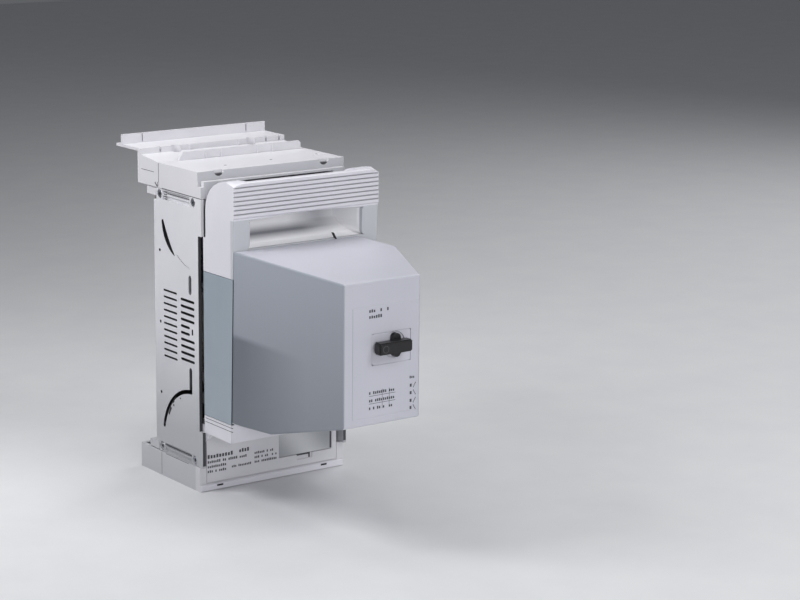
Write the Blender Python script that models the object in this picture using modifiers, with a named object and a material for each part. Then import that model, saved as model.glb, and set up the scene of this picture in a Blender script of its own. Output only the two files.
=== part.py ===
"""Fuse switch disconnector, size 00, three poles, for 60 mm busbars, with a monitoring unit on its lid.

Metres, +Z up. X runs across the device, the front is at -Y and the busbars are at +Y.
Y = 0 is the front plane of the chassis while the pieces are made; the whole device then
hangs on one empty that puts the middle of its floor print at the origin.
"""

import math

import bmesh
import bpy
from mathutils import Matrix, Vector

MM = 0.001

# Clearances
GAP = 0.3 * MM
WELD = 0.002 * MM

# Chassis
WIDTH = 106.0 * MM
HEIGHT = 197.3 * MM
PLATE_THICK = 2.0 * MM
PLATE_DEPTH = 51.0 * MM
CAP_HEIGHT = 15.5 * MM
WALL = 2.0 * MM
LIP = 3.6 * MM
LIP_RUN = 22.5 * MM
BACK_WALL = 5.0 * MM
BOX_SET_IN = 6.0 * MM
FLANGE_REACH = 8.0 * MM
FLANGE_HEIGHT = 4.5 * MM
REAR_REACH = 19.0 * MM

# Top rear cover
SHELF_REACH = 45.0 * MM
SHELF_RISE = 5.7 * MM
SHELF_LENGTH = 30.0 * MM
SHELF_THICK = 1.7 * MM
SHELF_STEP = 3.4 * MM
FIN_SET_IN = 6.5 * MM
FIN_HEIGHT = 6.0 * MM
FIN_THICK = 1.6 * MM
FIN_SLIT_INSET = 14.5 * MM
FIN_SLIT = 0.8 * MM
WELL_R = 3.2 * MM
WELL_INSET = 25.5 * MM
SHELF_SLIT = (1.3 * MM, 3.0 * MM)
SHELF_SLIT_INSETS = (14.0 * MM, 14.0 * MM, 4.0 * MM)
SHELF_POST = (1.1 * MM, 1.2 * MM)
SHELF_POST_X = 18.0 * MM

# Top terminal cover
BOX_LIP_HEIGHT = 10.0 * MM
BOX_LIP_CORNER = (2.2 * MM, 3.2 * MM)
BOX_SLOT = (5.2 * MM, 8.6 * MM)
BOX_SLOT_INSET = 10.5 * MM
NOTCH_WALL_RISE = 5.2 * MM
NOTCH_WALL_THICK = 1.6 * MM
NOTCH_WALL_INSETS = (12.0 * MM, 3.0 * MM)
NOTCH_WALL_RAMP = 5.0 * MM
NOTCH_WALL_CORNER = 1.4 * MM
NOTCH_RIB = (0.9 * MM, 1.0 * MM)
NOTCH_WIDTH = 10.5 * MM
NOTCH_CENTRES = (-14.8 * MM, 23.0 * MM)
NOTCH_SET_BACK = 0.6 * MM
TEST_HOLE_R = 0.9 * MM
TEST_HOLE_Y = 14.5 * MM
TEST_HOLE_SPREAD = 1.5 * MM
TEST_HOLE_SHIFT = 9.5 * MM
MOON_R = 3.5 * MM
MOON_INSET = 15.0 * MM
MOON_DEPTH = 1.9 * MM

# Phases, fuse links and contacts
PHASE_MARGIN = 3.5 * MM
FUSE_SPACING = 5.0 * MM
FUSE_HEIGHT = 49.0 * MM
FUSE_FRONT = -26.0 * MM
FUSE_DEPTH = 48.0 * MM
FUSE_CAP = 2.5 * MM
BLADE_THICK = 6.0 * MM
BLADE_DEPTH = 15.0 * MM
BLADE_LENGTH = 14.4 * MM
BLADE_FRONT = 4.0 * MM
BLADE_CHAMFER = 3.0 * MM
JAW_GRIP = 0.15 * MM
JAW_THICK = 1.8 * MM
JAW_FRONT = 1.0 * MM
JAW_FLARE = 2.4 * MM
JAW_TIP_MARGIN = 1.2 * MM
JAW_ROOT_MARGIN = 2.2 * MM
BARRIER_THICK = 2.0 * MM
BARRIER_FRONT = 1.0 * MM
BARRIER_INSETS = (48.0 * MM, 25.3 * MM)
TERMINAL_WIDTH = 20.0 * MM
TERMINAL_THICK = 3.0 * MM
TERMINAL_FOOT_Z = 24.0 * MM
TERMINAL_FRONT = 14.0 * MM
BOLT_Y = 24.0 * MM
BOLT_R = 4.0 * MM
BOLT_HEAD_R = 7.5 * MM
BOLT_HEAD_HEIGHT = 5.5 * MM
BOLT_LENGTH = 12.0 * MM

# Busbar claws
BAR_INSET = 38.65 * MM
BAR_REACH = 15.3 * MM
BAR_GAP = 10.4 * MM
CLAW_THICK = 2.4 * MM
CLAW_WIDTH = 20.0 * MM
CLAW_DROP = 12.0 * MM
CLAW_LIP = 8.0 * MM

# Side plate openings
SCREW_FRONT_Y = 5.7 * MM
SCREW_BACK_INSET = 6.8 * MM
SCREW_END = 19.1 * MM
SCREW_HEAD_R = 2.55 * MM
SCREW_HEAD_HEIGHT = 1.6 * MM
SCREW_SHANK_R = 1.25 * MM
SCREW_LENGTH = 8.0 * MM
SCREW_SOCKET_R = 1.3 * MM
CORNER_CUT = (3.1 * MM, 7.2 * MM)
RAIL_WIDTH = 8.0 * MM
RAIL_HEIGHT = 5.0 * MM
BAR_GROOVE_DEPTH = 1.2 * MM
BAR_GROOVE_HEIGHT = 5.6 * MM
GROOVE_BAR_R = 0.8 * MM
LOUVRE_PITCH = 4.13 * MM
LOUVRE_R = 0.8 * MM
LOUVRE_BACK_R = 0.6 * MM
LOUVRE_BACK_LENGTH = 14.5 * MM
LOUVRE_BACK_INSET = 11.0 * MM
LOUVRE_FRONT_Y = 5.5 * MM
LOUVRE_FRONT_INSET = 31.2 * MM
LOUVRE_MARGIN = 1.0 * MM
LOUVRE_SHORTEN = 5.5 * MM
PEEP_R = 1.0 * MM
PEEP_INSET = 6.5 * MM
PEEP_RISE = 44.8 * MM
KEYHOLE_Y = 7.2 * MM
KEYHOLE_HALF = 1.2 * MM
KEYHOLE_R = 0.8 * MM
GUIDE_SLOT_R = 1.6 * MM
GUIDE_SLOT_Y = 9.6 * MM
GUIDE_SLOT_LENGTH = 9.0 * MM
GUIDE_SLOT_RISE = 4.6 * MM

# Lid swing
PIVOT_Y = 7.5 * MM
PIVOT_Z = 26.4 * MM
PIVOT_R = 2.5 * MM
PIVOT_CLEARANCE = 0.3 * MM
ARC_SET_IN = 9.0 * MM
ARC_SLOT_R = 1.3 * MM
ARC_START = 13.5
ARC_MARGIN = 2.0
ARM_THICK = 2.2 * MM
ARM_CLEARANCE = 0.4 * MM
ARM_BOSS_R = 5.0 * MM
CRESCENT_SPAN = 42.0
CRESCENT_R = 2.1 * MM
GUIDE_PIN_R = 0.9 * MM
GUIDE_LOBE_R = 3.2 * MM
ARM_ROOT = (-13.0 * MM, -4.5 * MM)
ARM_ROOT_RISE = 1.5 * MM
ARM_ROOT_CLEARANCE = 0.8 * MM

# Lid
LID_REVEAL = 1.2 * MM
LID_BOTTOM = 38.5 * MM
LID_TOP_INSET = 1.9 * MM
LID_FRONT_LOW = -33.6 * MM
LID_FRONT_HIGH = -37.4 * MM
LID_BACK = -4.0 * MM
LID_BACK_HIGH = -6.6 * MM
LID_WALL = 2.2 * MM
LID_CHEEK = 4.0 * MM
LID_CORNER = (23.4 * MM, 19.5 * MM)
HANDLE_BOTTOM_INSET = 23.0 * MM
HANDLE_DEPTH = 6.4 * MM
HANDLE_END_DROP = 2.0 * MM
HANDLE_END_RUN = 7.0 * MM
HANDLE_DIP_INSET = 11.4 * MM
HANDLE_DIP_Y = (-34.6 * MM, -13.5 * MM)
HANDLE_DIP_DROP = 5.4 * MM
RIB_PITCH = 2.63 * MM
RIB_COUNT = 8
RIB_DEPTH = 0.9 * MM
RIB_GROOVE = 0.7 * MM
GRIP_BEND_INSET = 26.3 * MM
GRIP_BACK = -15.0 * MM
GRIP_TOP_INSET = 7.8 * MM
GRIP_INSET = 8.8 * MM
GRIP_FLARE = 0.45
GRIP_ARCH = 1.6 * MM
LID_RIB = 1.6 * MM
CRADLE_THICK = 3.0 * MM
CRADLE_RISE = 18.0 * MM

# Sight windows
WINDOW_BOTTOM = 50.0 * MM
WINDOW_TOP_INSET = 59.0 * MM
WINDOW_THICK = 2.0 * MM
WINDOW_MARGIN = 5.0 * MM

# Terminal front panel and label
PANEL_THICK = 2.5 * MM
PANEL_BOTTOM = 5.0 * MM
PANEL_TOP = 46.0 * MM
LABEL_INSET = 3.5 * MM
LABEL_WIDTH = 39.8 * MM
LABEL_Z = (12.3 * MM, 28.0 * MM)
LABEL_DEPTH = 1.2 * MM
LABEL_THICK = 0.6 * MM
LABEL_TAB = (13.5 * MM, 24.9 * MM)
LABEL_TAB_Z = 9.0 * MM
LIP_NOTCH = (12.0 * MM, 1.6 * MM)
LIP_NOTCHES = (-27.0 * MM, 12.0 * MM)

# Monitoring housing
HOUSING_LEFT_INSET = 1.7 * MM
HOUSING_RIGHT_INSET = 15.0 * MM
HOUSING_FACE = 52.3 * MM
HOUSING_FRONT = -148.0 * MM
HOUSING_TOP_INSET = 42.0 * MM
HOUSING_SHOULDER = -75.0 * MM
HOUSING_HEIGHTS = (104.7 * MM, 101.6 * MM, 81.9 * MM)
HOUSING_WALL = 1.5 * MM
HOUSING_EDGE = 0.9 * MM
PLATE_ACROSS = (6.4 * MM, 50.7 * MM)
PLATE_DOWN = (77.3 * MM, 14.3 * MM)
PLATE_LABEL_DEPTH = 0.7 * MM
KNOB_WINDOW_ACROSS = (20.3 * MM, 48.7 * MM)
KNOB_WINDOW_DOWN = (49.0 * MM, 29.3 * MM)

# Monitoring breaker, its rail and knob
RAIL_DOWN = 41.3 * MM
HAT_HALF = 17.5 * MM
HAT_WEB = 13.5 * MM
HAT_DEPTH = 15.0 * MM
HAT_THICK = 1.0 * MM
HAT_INSETS = (2.8 * MM, 8.0 * MM)
BREAKER_ACROSS = (3.3 * MM, 49.7 * MM)
BREAKER_DOWN = (75.3 * MM, 5.3 * MM)
BREAKER_WALL = 1.5 * MM
BREAKER_SET_BACK = 0.8 * MM
KNOB_ACROSS = 34.7 * MM
KNOB_DOWN = 37.7 * MM
KNOB_TAB_R = 2.5 * MM
KNOB_TAB_REACH = 4.3 * MM
KNOB_TAB_HEIGHT = 2.4 * MM
KNOB_BAR = (22.5 * MM, 6.8 * MM)
KNOB_BAR_HEIGHT = 4.6 * MM
KNOB_BAR_SHIFT = -3.8 * MM
KNOB_EDGE = 0.7 * MM
KNOB_SHAFT_R = 2.6 * MM
KNOB_SHAFT = 4.0 * MM
KNOB_LIFT = 0.4 * MM

# Placing from the chassis depth
BACK_FRONT = PLATE_DEPTH - BACK_WALL
BOX_DEPTH = PLATE_DEPTH - BOX_SET_IN
FLANGE_DEPTH = PLATE_DEPTH + FLANGE_REACH
REAR_DEPTH = PLATE_DEPTH + REAR_REACH
SHELF_DEPTH = PLATE_DEPTH + SHELF_REACH
SHELF_FRONT = SHELF_DEPTH - SHELF_LENGTH
FIN_Y = SHELF_DEPTH - FIN_SET_IN
SCREW_BACK_Y = PLATE_DEPTH - SCREW_BACK_INSET
LOUVRE_BACK_Y = PLATE_DEPTH - LOUVRE_BACK_INSET
LOUVRE_MIDDLE_Y = PLATE_DEPTH - LOUVRE_FRONT_INSET
PEEP_Y = PLATE_DEPTH - PEEP_INSET
ARC_R = PLATE_DEPTH - ARC_SET_IN - PIVOT_Y

# Placing from the fuse link
BLADE_REACH = FUSE_HEIGHT / 2 + GAP + BLADE_LENGTH
JAW_HEIGHT = BLADE_LENGTH - JAW_TIP_MARGIN - JAW_ROOT_MARGIN

# Placing from the chassis height
MID_Z = HEIGHT / 2
BAR_PITCH = MID_Z - BAR_INSET
PLATE_BOTTOM = CAP_HEIGHT + GAP
PLATE_TOP = HEIGHT - CAP_HEIGHT - GAP
SHELF_TOP = HEIGHT + SHELF_RISE
FIN_TOP = SHELF_TOP + FIN_HEIGHT
NOTCH_WALL_TOP = HEIGHT + NOTCH_WALL_RISE
BARRIER_SPAN = (BARRIER_INSETS[0], HEIGHT - BARRIER_INSETS[1])
GUIDE_SLOT_LOW = PIVOT_Z + ARC_R + GUIDE_SLOT_RISE
GUIDE_SLOT = (GUIDE_SLOT_LOW, GUIDE_SLOT_LOW + GUIDE_SLOT_LENGTH)
LID_TOP = HEIGHT - LID_TOP_INSET
HANDLE_BOTTOM = HEIGHT - HANDLE_BOTTOM_INSET
GRIP_BEND = HEIGHT - GRIP_BEND_INSET
GRIP_TOP = HEIGHT - GRIP_TOP_INSET
WINDOW_TOP = HEIGHT - WINDOW_TOP_INSET
ARM_ROOT_SPAN = (LID_BOTTOM + ARM_ROOT_RISE, WINDOW_BOTTOM - ARM_ROOT_CLEARANCE)
HOUSING_TOP = HEIGHT - HOUSING_TOP_INSET
HOUSING_BOTTOMS = tuple(HOUSING_TOP - height for height in HOUSING_HEIGHTS)
GRIP_BOTTOM = HOUSING_TOP + 2 * GAP
PLATE_Z = tuple(HOUSING_TOP - down for down in PLATE_DOWN)
KNOB_WINDOW_Z = tuple(HOUSING_TOP - down for down in KNOB_WINDOW_DOWN)
BREAKER_Z = tuple(HOUSING_TOP - down for down in BREAKER_DOWN)
RAIL_Z = HOUSING_TOP - RAIL_DOWN
KNOB_Z = HOUSING_TOP - KNOB_DOWN

# Placing from the chassis width
INNER_X = WIDTH / 2 - PLATE_THICK
BASE_X = INNER_X - GAP
ARM_OUTER_X = INNER_X - ARM_CLEARANCE
ARM_INNER_X = ARM_OUTER_X - ARM_THICK
PANEL_X = ARM_INNER_X - ARM_CLEARANCE
LID_X = WIDTH / 2 - LID_REVEAL
CAVITY_X = LID_X - LID_CHEEK
PITCH = (WIDTH - 2 * PHASE_MARGIN) / 3
FUSE_WIDTH = PITCH - FUSE_SPACING
NOTCH_WALL_SPAN = (NOTCH_WALL_INSETS[0] - WIDTH / 2, WIDTH / 2 - NOTCH_WALL_INSETS[1])
LABEL_X = (PANEL_X - LABEL_INSET - LABEL_WIDTH, PANEL_X - LABEL_INSET)
LABEL_TAB_X = tuple(LABEL_X[0] + across for across in LABEL_TAB)
HOUSING_LEFT = HOUSING_LEFT_INSET - WIDTH / 2
HOUSING_RIGHT = WIDTH / 2 - HOUSING_RIGHT_INSET
HOUSING_CORNER = HOUSING_LEFT + HOUSING_FACE
PLATE_X = tuple(HOUSING_LEFT + across for across in PLATE_ACROSS)
KNOB_WINDOW_X = tuple(HOUSING_LEFT + across for across in KNOB_WINDOW_ACROSS)
BREAKER_X = tuple(HOUSING_LEFT + across for across in BREAKER_ACROSS)
HAT_SPAN = (HOUSING_LEFT + HAT_INSETS[0], HOUSING_RIGHT - HAT_INSETS[1])
KNOB_X = HOUSING_LEFT + KNOB_ACROSS

CENTRE_Y = (SHELF_DEPTH + HOUSING_FRONT - KNOB_LIFT - KNOB_TAB_HEIGHT - KNOB_BAR_HEIGHT) / 2

PART = "fuse_switch_disconnector"
CUTTERS = "cutters"


def clear_scene():
    """Removes whatever the scene holds and makes the two collections."""
    for thing in list(bpy.data.objects):
        bpy.data.objects.remove(thing, do_unlink=True)
    for name in (PART, CUTTERS):
        collection = bpy.data.collections.get(name) or bpy.data.collections.new(name)
        if name not in bpy.context.scene.collection.children:
            bpy.context.scene.collection.children.link(collection)


def material(name, colour, roughness, metallic=0.0, alpha=1.0):
    """A Principled material in one linear colour."""
    made = bpy.data.materials.get(name) or bpy.data.materials.new(name)
    made.use_nodes = True
    shader = made.node_tree.nodes["Principled BSDF"]
    shader.inputs["Base Color"].default_value = (*colour, 1.0)
    shader.inputs["Roughness"].default_value = roughness
    shader.inputs["Metallic"].default_value = metallic
    shader.inputs["Alpha"].default_value = alpha
    return made


def chassis_plastic():
    return material("light_grey_polyamide", (0.62, 0.62, 0.64), 0.45)


def lid_plastic():
    return material("lid_grey_polycarbonate", (0.63, 0.63, 0.66), 0.38)


def housing_plastic():
    return material("housing_grey_plastic", (0.47, 0.49, 0.53), 0.42)


def window_plastic():
    return material("tinted_blue_grey_window", (0.27, 0.32, 0.38), 0.15, alpha=0.8)


def black_plastic():
    return material("black_knob_plastic", (0.012, 0.012, 0.014), 0.35)


def label_film():
    return material("grey_label_film", (0.36, 0.37, 0.39), 0.4)


def steel():
    return material("zinc_plated_steel", (0.52, 0.53, 0.55), 0.35, metallic=1.0)


def silvered_copper():
    return material("silver_plated_copper", (0.78, 0.77, 0.74), 0.3, metallic=1.0)


def ceramic():
    return material("steatite_ceramic", (0.78, 0.77, 0.72), 0.3)


def add_object(name, mesh, skin=None, parent=None, smooth=None):
    """Puts a mesh in the part, or with no skin among the cutters."""
    thing = bpy.data.objects.new(name, mesh)
    if skin is None:
        bpy.data.collections[CUTTERS].objects.link(thing)
        thing.hide_render = True
        thing.display_type = "WIRE"
    else:
        bpy.data.collections[PART].objects.link(thing)
        mesh.materials.append(skin)
        thing.parent = parent
    if smooth:
        mesh.shade_smooth()
        mesh.set_sharp_from_angle(angle=math.radians(smooth))
    return thing


def mesh_from(form, name="shape"):
    """Welds a bmesh, turns its faces outwards and makes it a mesh."""
    bmesh.ops.remove_doubles(form, verts=form.verts, dist=WELD)
    bmesh.ops.recalc_face_normals(form, faces=form.faces)
    mesh = bpy.data.meshes.new(name)
    form.to_mesh(mesh)
    form.free()
    return mesh


def facing(normal):
    """Turns a drawing in local X and Y so that its thickness runs along normal."""
    turns = {
        "X": Matrix(((0, 0, 1, 0), (1, 0, 0, 0), (0, 1, 0, 0), (0, 0, 0, 1))),
        "Y": Matrix(((1, 0, 0, 0), (0, 0, -1, 0), (0, 1, 0, 0), (0, 0, 0, 1))),
        "Z": Matrix.Identity(4),
    }
    return turns[normal]


def slab(outline, low, high, normal, holes=()):
    """A flat outline with holes, as a filled 2D curve, that runs from low to high along normal."""
    curve = bpy.data.curves.new("outline", "CURVE")
    curve.dimensions = "2D"
    curve.fill_mode = "BOTH"
    curve.extrude = (high - low) / 2
    for points in (outline, *holes):
        spline = curve.splines.new("POLY")
        spline.points.add(len(points) - 1)
        spline.use_cyclic_u = True
        for point, (u, v) in zip(spline.points, points):
            point.co = (u, v, 0.0, 1.0)
    holder = bpy.data.objects.new("outline", curve)
    bpy.context.scene.collection.objects.link(holder)
    depsgraph = bpy.context.evaluated_depsgraph_get()
    filled = bpy.data.meshes.new_from_object(holder.evaluated_get(depsgraph))
    form = bmesh.new()
    form.from_mesh(filled)
    middle = (low + high) / 2
    shift = {"X": (middle, 0, 0), "Y": (0, middle, 0), "Z": (0, 0, middle)}[normal]
    form.transform(Matrix.Translation(shift) @ facing(normal))
    bpy.data.objects.remove(holder, do_unlink=True)
    bpy.data.curves.remove(curve)
    bpy.data.meshes.remove(filled)
    return mesh_from(form)


def add_box(form, x, y, z):
    """Adds a box between the given pairs of limits to a bmesh."""
    centre = Vector((sum(x) / 2, sum(y) / 2, sum(z) / 2))
    size = (abs(x[1] - x[0]), abs(y[1] - y[0]), abs(z[1] - z[0]))
    bmesh.ops.create_cube(form, size=1.0, matrix=Matrix.Translation(centre) @ Matrix.Diagonal((*size, 1.0)))


def boxes(*limits):
    """One mesh of separate boxes, each given as its X, Y and Z limits."""
    form = bmesh.new()
    for x, y, z in limits:
        add_box(form, x, y, z)
    return mesh_from(form)


def add_rod(form, start, end, radius, sides, end_radius=None):
    """Adds a closed cylinder or cone from start to end to a bmesh."""
    start, end = Vector(start), Vector(end)
    along = end - start
    turn = along.to_track_quat("Z", "Y").to_matrix().to_4x4()
    bmesh.ops.create_cone(
        form,
        cap_ends=True,
        segments=sides,
        radius1=radius,
        radius2=radius if end_radius is None else end_radius,
        depth=along.length,
        matrix=Matrix.Translation((start + end) / 2) @ turn,
    )


def rods(*runs, sides=16):
    """One mesh of separate cylinders, each given as start, end and radius."""
    form = bmesh.new()
    for start, end, radius in runs:
        add_rod(form, start, end, radius, sides)
    return mesh_from(form)


def combine(target, mesh, operation, label):
    """Adds or removes a hidden shape with an exact Boolean, and keeps one Weld as the last modifier."""
    tool = add_object(f"{target.name}_{label}", mesh)
    tool.parent = target.parent
    modifier = target.modifiers.new(label, "BOOLEAN")
    modifier.operation = operation
    modifier.solver = "EXACT"
    modifier.object = tool
    last = target.modifiers.get("weld")
    if last:
        target.modifiers.remove(last)
    target.modifiers.new("weld", "WELD").merge_threshold = WELD
    return tool


def cut(target, mesh, label):
    return combine(target, mesh, "DIFFERENCE", label)


def join(target, mesh, label):
    return combine(target, mesh, "UNION", label)


def arc(centre, radii, start, end, steps):
    """Points along an ellipse, from start to end in degrees counted from the first axis."""
    points = []
    for step in range(steps + 1):
        angle = math.radians(start + (end - start) * step / steps)
        points.append((centre[0] + radii[0] * math.cos(angle), centre[1] + radii[1] * math.sin(angle)))
    return points


def ring(u, v, radius, sides=12, start=0.0):
    """A round hole whose first corner is at the start angle."""
    return arc((u, v), (radius, radius), start, start + 360.0 * (sides - 1) / sides, sides - 1)


def capsule(u0, u1, v0, v1, radius, steps=3):
    """A slot with round ends between two points in line with one axis."""
    turn = math.degrees(math.atan2(v1 - v0, u1 - u0))
    far = arc((u1, v1), (radius, radius), turn - 90, turn + 90, steps)
    near = arc((u0, v0), (radius, radius), turn + 90, turn + 270, steps)
    return far + near


def mirrored(points):
    """The same points reflected top to bottom about the middle of the chassis."""
    return [(u, HEIGHT - v) for u, v in reversed(points)]


def arc_slot(steps=14):
    """The lower guide slot: bent around the lid's pivot, with a straight leg up from its top end."""
    centre = (PIVOT_Y, PIVOT_Z)
    first = ARC_START - ARC_MARGIN
    outer, inner = ARC_R + ARC_SLOT_R, ARC_R - ARC_SLOT_R
    back = math.degrees(math.acos((GUIDE_SLOT_Y + GUIDE_SLOT_R - PIVOT_Y) / outer))
    front = math.degrees(math.acos((GUIDE_SLOT_Y - GUIDE_SLOT_R - PIVOT_Y) / inner))
    start = math.radians(first)
    tail = (PIVOT_Y + ARC_R * math.cos(start), PIVOT_Z + ARC_R * math.sin(start))
    return (
        arc(centre, (outer, outer), first, back, steps)
        + arc((GUIDE_SLOT_Y, GUIDE_SLOT[1]), (GUIDE_SLOT_R, GUIDE_SLOT_R), 0, 180, 4)
        + arc(centre, (inner, inner), front, first, steps)
        + arc(tail, (ARC_SLOT_R, ARC_SLOT_R), first + 180, first + 360, 4)[1:-1]
    )


def crescent(steps=12):
    """The upper guide slot: a moon around the mirrored pivot that ends where the faint crease begins."""
    outer, inner = [], []
    for step in range(steps + 1):
        share = step / steps
        angle = math.radians(ARC_START + CRESCENT_SPAN * share)
        half = CRESCENT_R * (0.06 + 0.94 * math.sin(math.pi * (0.12 + 0.88 * share)) ** 0.8)
        for points, radius in ((outer, ARC_R + half), (inner, ARC_R - half)):
            points.append((PIVOT_Y + radius * math.cos(angle), PIVOT_Z + radius * math.sin(angle)))
    return mirrored(outer + inner[::-1])


def screw_places():
    """Y and Z of the four screws of one side plate."""
    return [(y, z) for y in (SCREW_FRONT_Y, SCREW_BACK_Y) for z in (SCREW_END, HEIGHT - SCREW_END)]


def louvres():
    """Two columns of cooling slots between the guide slots; the middle two are short."""
    slots = []
    reach = MID_Z - GUIDE_SLOT[1] - GUIDE_SLOT_R - LOUVRE_R - LOUVRE_MARGIN
    rows = int(reach / LOUVRE_PITCH)
    for row in range(-rows, rows + 1):
        z = MID_Z + row * LOUVRE_PITCH
        slots.append(capsule(LOUVRE_BACK_Y - LOUVRE_BACK_LENGTH, LOUVRE_BACK_Y, z, z, LOUVRE_BACK_R))
    for row in range(-rows, rows):
        z = MID_Z + (row + 0.5) * LOUVRE_PITCH
        front = LOUVRE_FRONT_Y + (LOUVRE_SHORTEN if row in (-1, 0) else 0.0)
        slots.append(capsule(front, LOUVRE_MIDDLE_Y, z, z, LOUVRE_R))
    return slots


def side_plate(name, side, parent):
    """A thin moulded cheek with guide slots, louvres, screw holes and the stub that the lid turns on."""
    step_low = PLATE_BOTTOM + LIP_RUN
    step_high = PLATE_TOP - LIP_RUN
    corner_y = PLATE_DEPTH - CORNER_CUT[0]
    outline = [
        (-LIP, PLATE_BOTTOM),
        (corner_y, PLATE_BOTTOM),
        (corner_y, PLATE_BOTTOM + CORNER_CUT[1]),
        (PLATE_DEPTH, PLATE_BOTTOM + CORNER_CUT[1]),
        (PLATE_DEPTH, PLATE_TOP - CORNER_CUT[1]),
        (corner_y, PLATE_TOP - CORNER_CUT[1]),
        (corner_y, PLATE_TOP),
        (-LIP, PLATE_TOP),
        (-LIP, step_high),
        (0.0, step_high),
        (0.0, step_low),
        (-LIP, step_low),
    ]
    holes = [ring(y, z, SCREW_HEAD_R + GAP, 14, 360.0 * y / HEIGHT) for y, z in screw_places()]
    holes += [ring(PEEP_Y, z, PEEP_R, 10) for z in (MID_Z - PEEP_RISE, MID_Z, MID_Z + PEEP_RISE)]
    holes.append(capsule(KEYHOLE_Y, KEYHOLE_Y, MID_Z - KEYHOLE_HALF, MID_Z + KEYHOLE_HALF, KEYHOLE_R))
    guide = capsule(GUIDE_SLOT_Y, GUIDE_SLOT_Y, *GUIDE_SLOT, GUIDE_SLOT_R)
    holes += [arc_slot(), crescent(), mirrored(guide)]
    holes += louvres()
    outer = side * WIDTH / 2
    inner = side * INNER_X
    mesh = slab(outline, min(outer, inner), max(outer, inner), "X", holes)
    plate = add_object(name, mesh, chassis_plastic(), parent)
    groove_floor = outer - side * BAR_GROOVE_DEPTH
    past = outer + side * BAR_GROOVE_DEPTH
    bar_x = groove_floor + side * GAP / 2
    clear = SCREW_HEAD_R + 4 * GAP
    run = (SCREW_FRONT_Y + clear, SCREW_BACK_Y - clear)
    grooves, bars = bmesh.new(), bmesh.new()
    for z in (SCREW_END, HEIGHT - SCREW_END):
        half = BAR_GROOVE_HEIGHT / 2
        add_box(grooves, sorted((groove_floor, past)), run, (z - half, z + half))
        add_rod(bars, (bar_x, run[0] - GAP, z), (bar_x, run[1] + GAP, z), GROOVE_BAR_R, 12)
    cut(plate, mesh_from(grooves), "screw_grooves")
    join(plate, mesh_from(bars), "screw_bars")
    stub_root = side * (INNER_X + PLATE_THICK / 2)
    stub_end = side * (ARM_INNER_X + GAP)
    stub = rods(((stub_root, PIVOT_Y, PIVOT_Z), (stub_end, PIVOT_Y, PIVOT_Z), PIVOT_R), sides=24)
    join(plate, stub, "pivot_stub")
    return plate


def side_screw(name, side, y, z, parent):
    """A countersunk screw, turned from its half section, with a hexagon socket."""
    head_bottom = -SCREW_HEAD_HEIGHT
    profile = [
        (0.0, 0.0),
        (SCREW_HEAD_R * 0.85, 0.0),
        (SCREW_HEAD_R, -SCREW_HEAD_HEIGHT * 0.3),
        (SCREW_HEAD_R, head_bottom),
        (SCREW_SHANK_R, head_bottom - GAP),
        (SCREW_SHANK_R, -SCREW_LENGTH + SCREW_SHANK_R),
        (0.0, -SCREW_LENGTH),
    ]
    mesh = bpy.data.meshes.new(name)
    edges = [(index, index + 1) for index in range(len(profile) - 1)]
    mesh.from_pydata([(radius, 0.0, depth) for radius, depth in profile], edges, [])
    screw = add_object(name, mesh, steel(), parent)
    turned = screw.modifiers.new("turned", "SCREW")
    turned.steps = turned.render_steps = 12
    turned.use_merge_vertices = True
    turned.merge_threshold = WELD
    hexagon = rods(((0, 0, -SCREW_HEAD_HEIGHT * 0.8), (0, 0, GAP), SCREW_SOCKET_R), sides=6)
    socket = cut(screw, hexagon, "socket")
    place = Matrix.Translation((side * (WIDTH / 2 - GAP), y, z)) @ Matrix.Rotation(side * math.pi / 2, 4, "Y")
    screw.matrix_local = place
    socket.matrix_local = place
    return screw


def chassis_base(parent):
    """The moulded back wall with phase barriers, screw rails and the two rear flanges."""
    wall_mesh = boxes(((-BASE_X, BASE_X), (BACK_FRONT, PLATE_DEPTH), (PLATE_BOTTOM, PLATE_TOP)))
    base = add_object("chassis_base", wall_mesh, chassis_plastic(), parent)
    overlap = WALL / 2
    flanges = []
    flange_front = PLATE_DEPTH - CORNER_CUT[0] + GAP
    for low in (PLATE_BOTTOM + GAP, PLATE_TOP - FLANGE_HEIGHT - GAP):
        flanges.append(((-WIDTH / 2, WIDTH / 2), (flange_front, FLANGE_DEPTH), (low, low + FLANGE_HEIGHT)))
    join(base, boxes(*flanges), "flanges")
    rails = []
    for low in (PLATE_BOTTOM + GAP, PLATE_TOP - RAIL_HEIGHT - GAP):
        for x in ((GAP - BASE_X, RAIL_WIDTH - BASE_X), (BASE_X - RAIL_WIDTH, BASE_X - GAP)):
            rails.append((x, (GAP + PANEL_THICK + GAP, BACK_FRONT + overlap), (low, low + RAIL_HEIGHT)))
    join(base, boxes(*rails), "rails")
    barriers = []
    for x in (-PITCH / 2, PITCH / 2):
        span = (x - BARRIER_THICK / 2, x + BARRIER_THICK / 2)
        barriers.append((span, (BARRIER_FRONT, BACK_FRONT + overlap), BARRIER_SPAN))
    join(base, boxes(*barriers), "barriers")
    holes = []
    for side in (-1, 1):
        for y, z in screw_places():
            end = side * (WIDTH / 2 - SCREW_LENGTH - GAP)
            holes.append(((side * WIDTH / 2, y, z), (end, y, z), SCREW_SHANK_R + GAP))
    cut(base, rods(*holes, sides=12), "screw_holes")
    pockets = []
    pocket_half = PITCH / 2 - 2 * BARRIER_THICK
    for phase in (-1, 0, 1):
        for middle in (MID_Z - BAR_PITCH / 2, MID_Z + BAR_PITCH / 2):
            reach = BAR_PITCH / 2 - BAR_REACH - CLAW_THICK
            x = (phase * PITCH - pocket_half, phase * PITCH + pocket_half)
            y = (PLATE_DEPTH - BACK_WALL / 2, PLATE_DEPTH + WALL)
            pockets.append((x, y, (middle - reach, middle + reach)))
    cut(base, boxes(*pockets), "rear_pockets")
    return base


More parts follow.
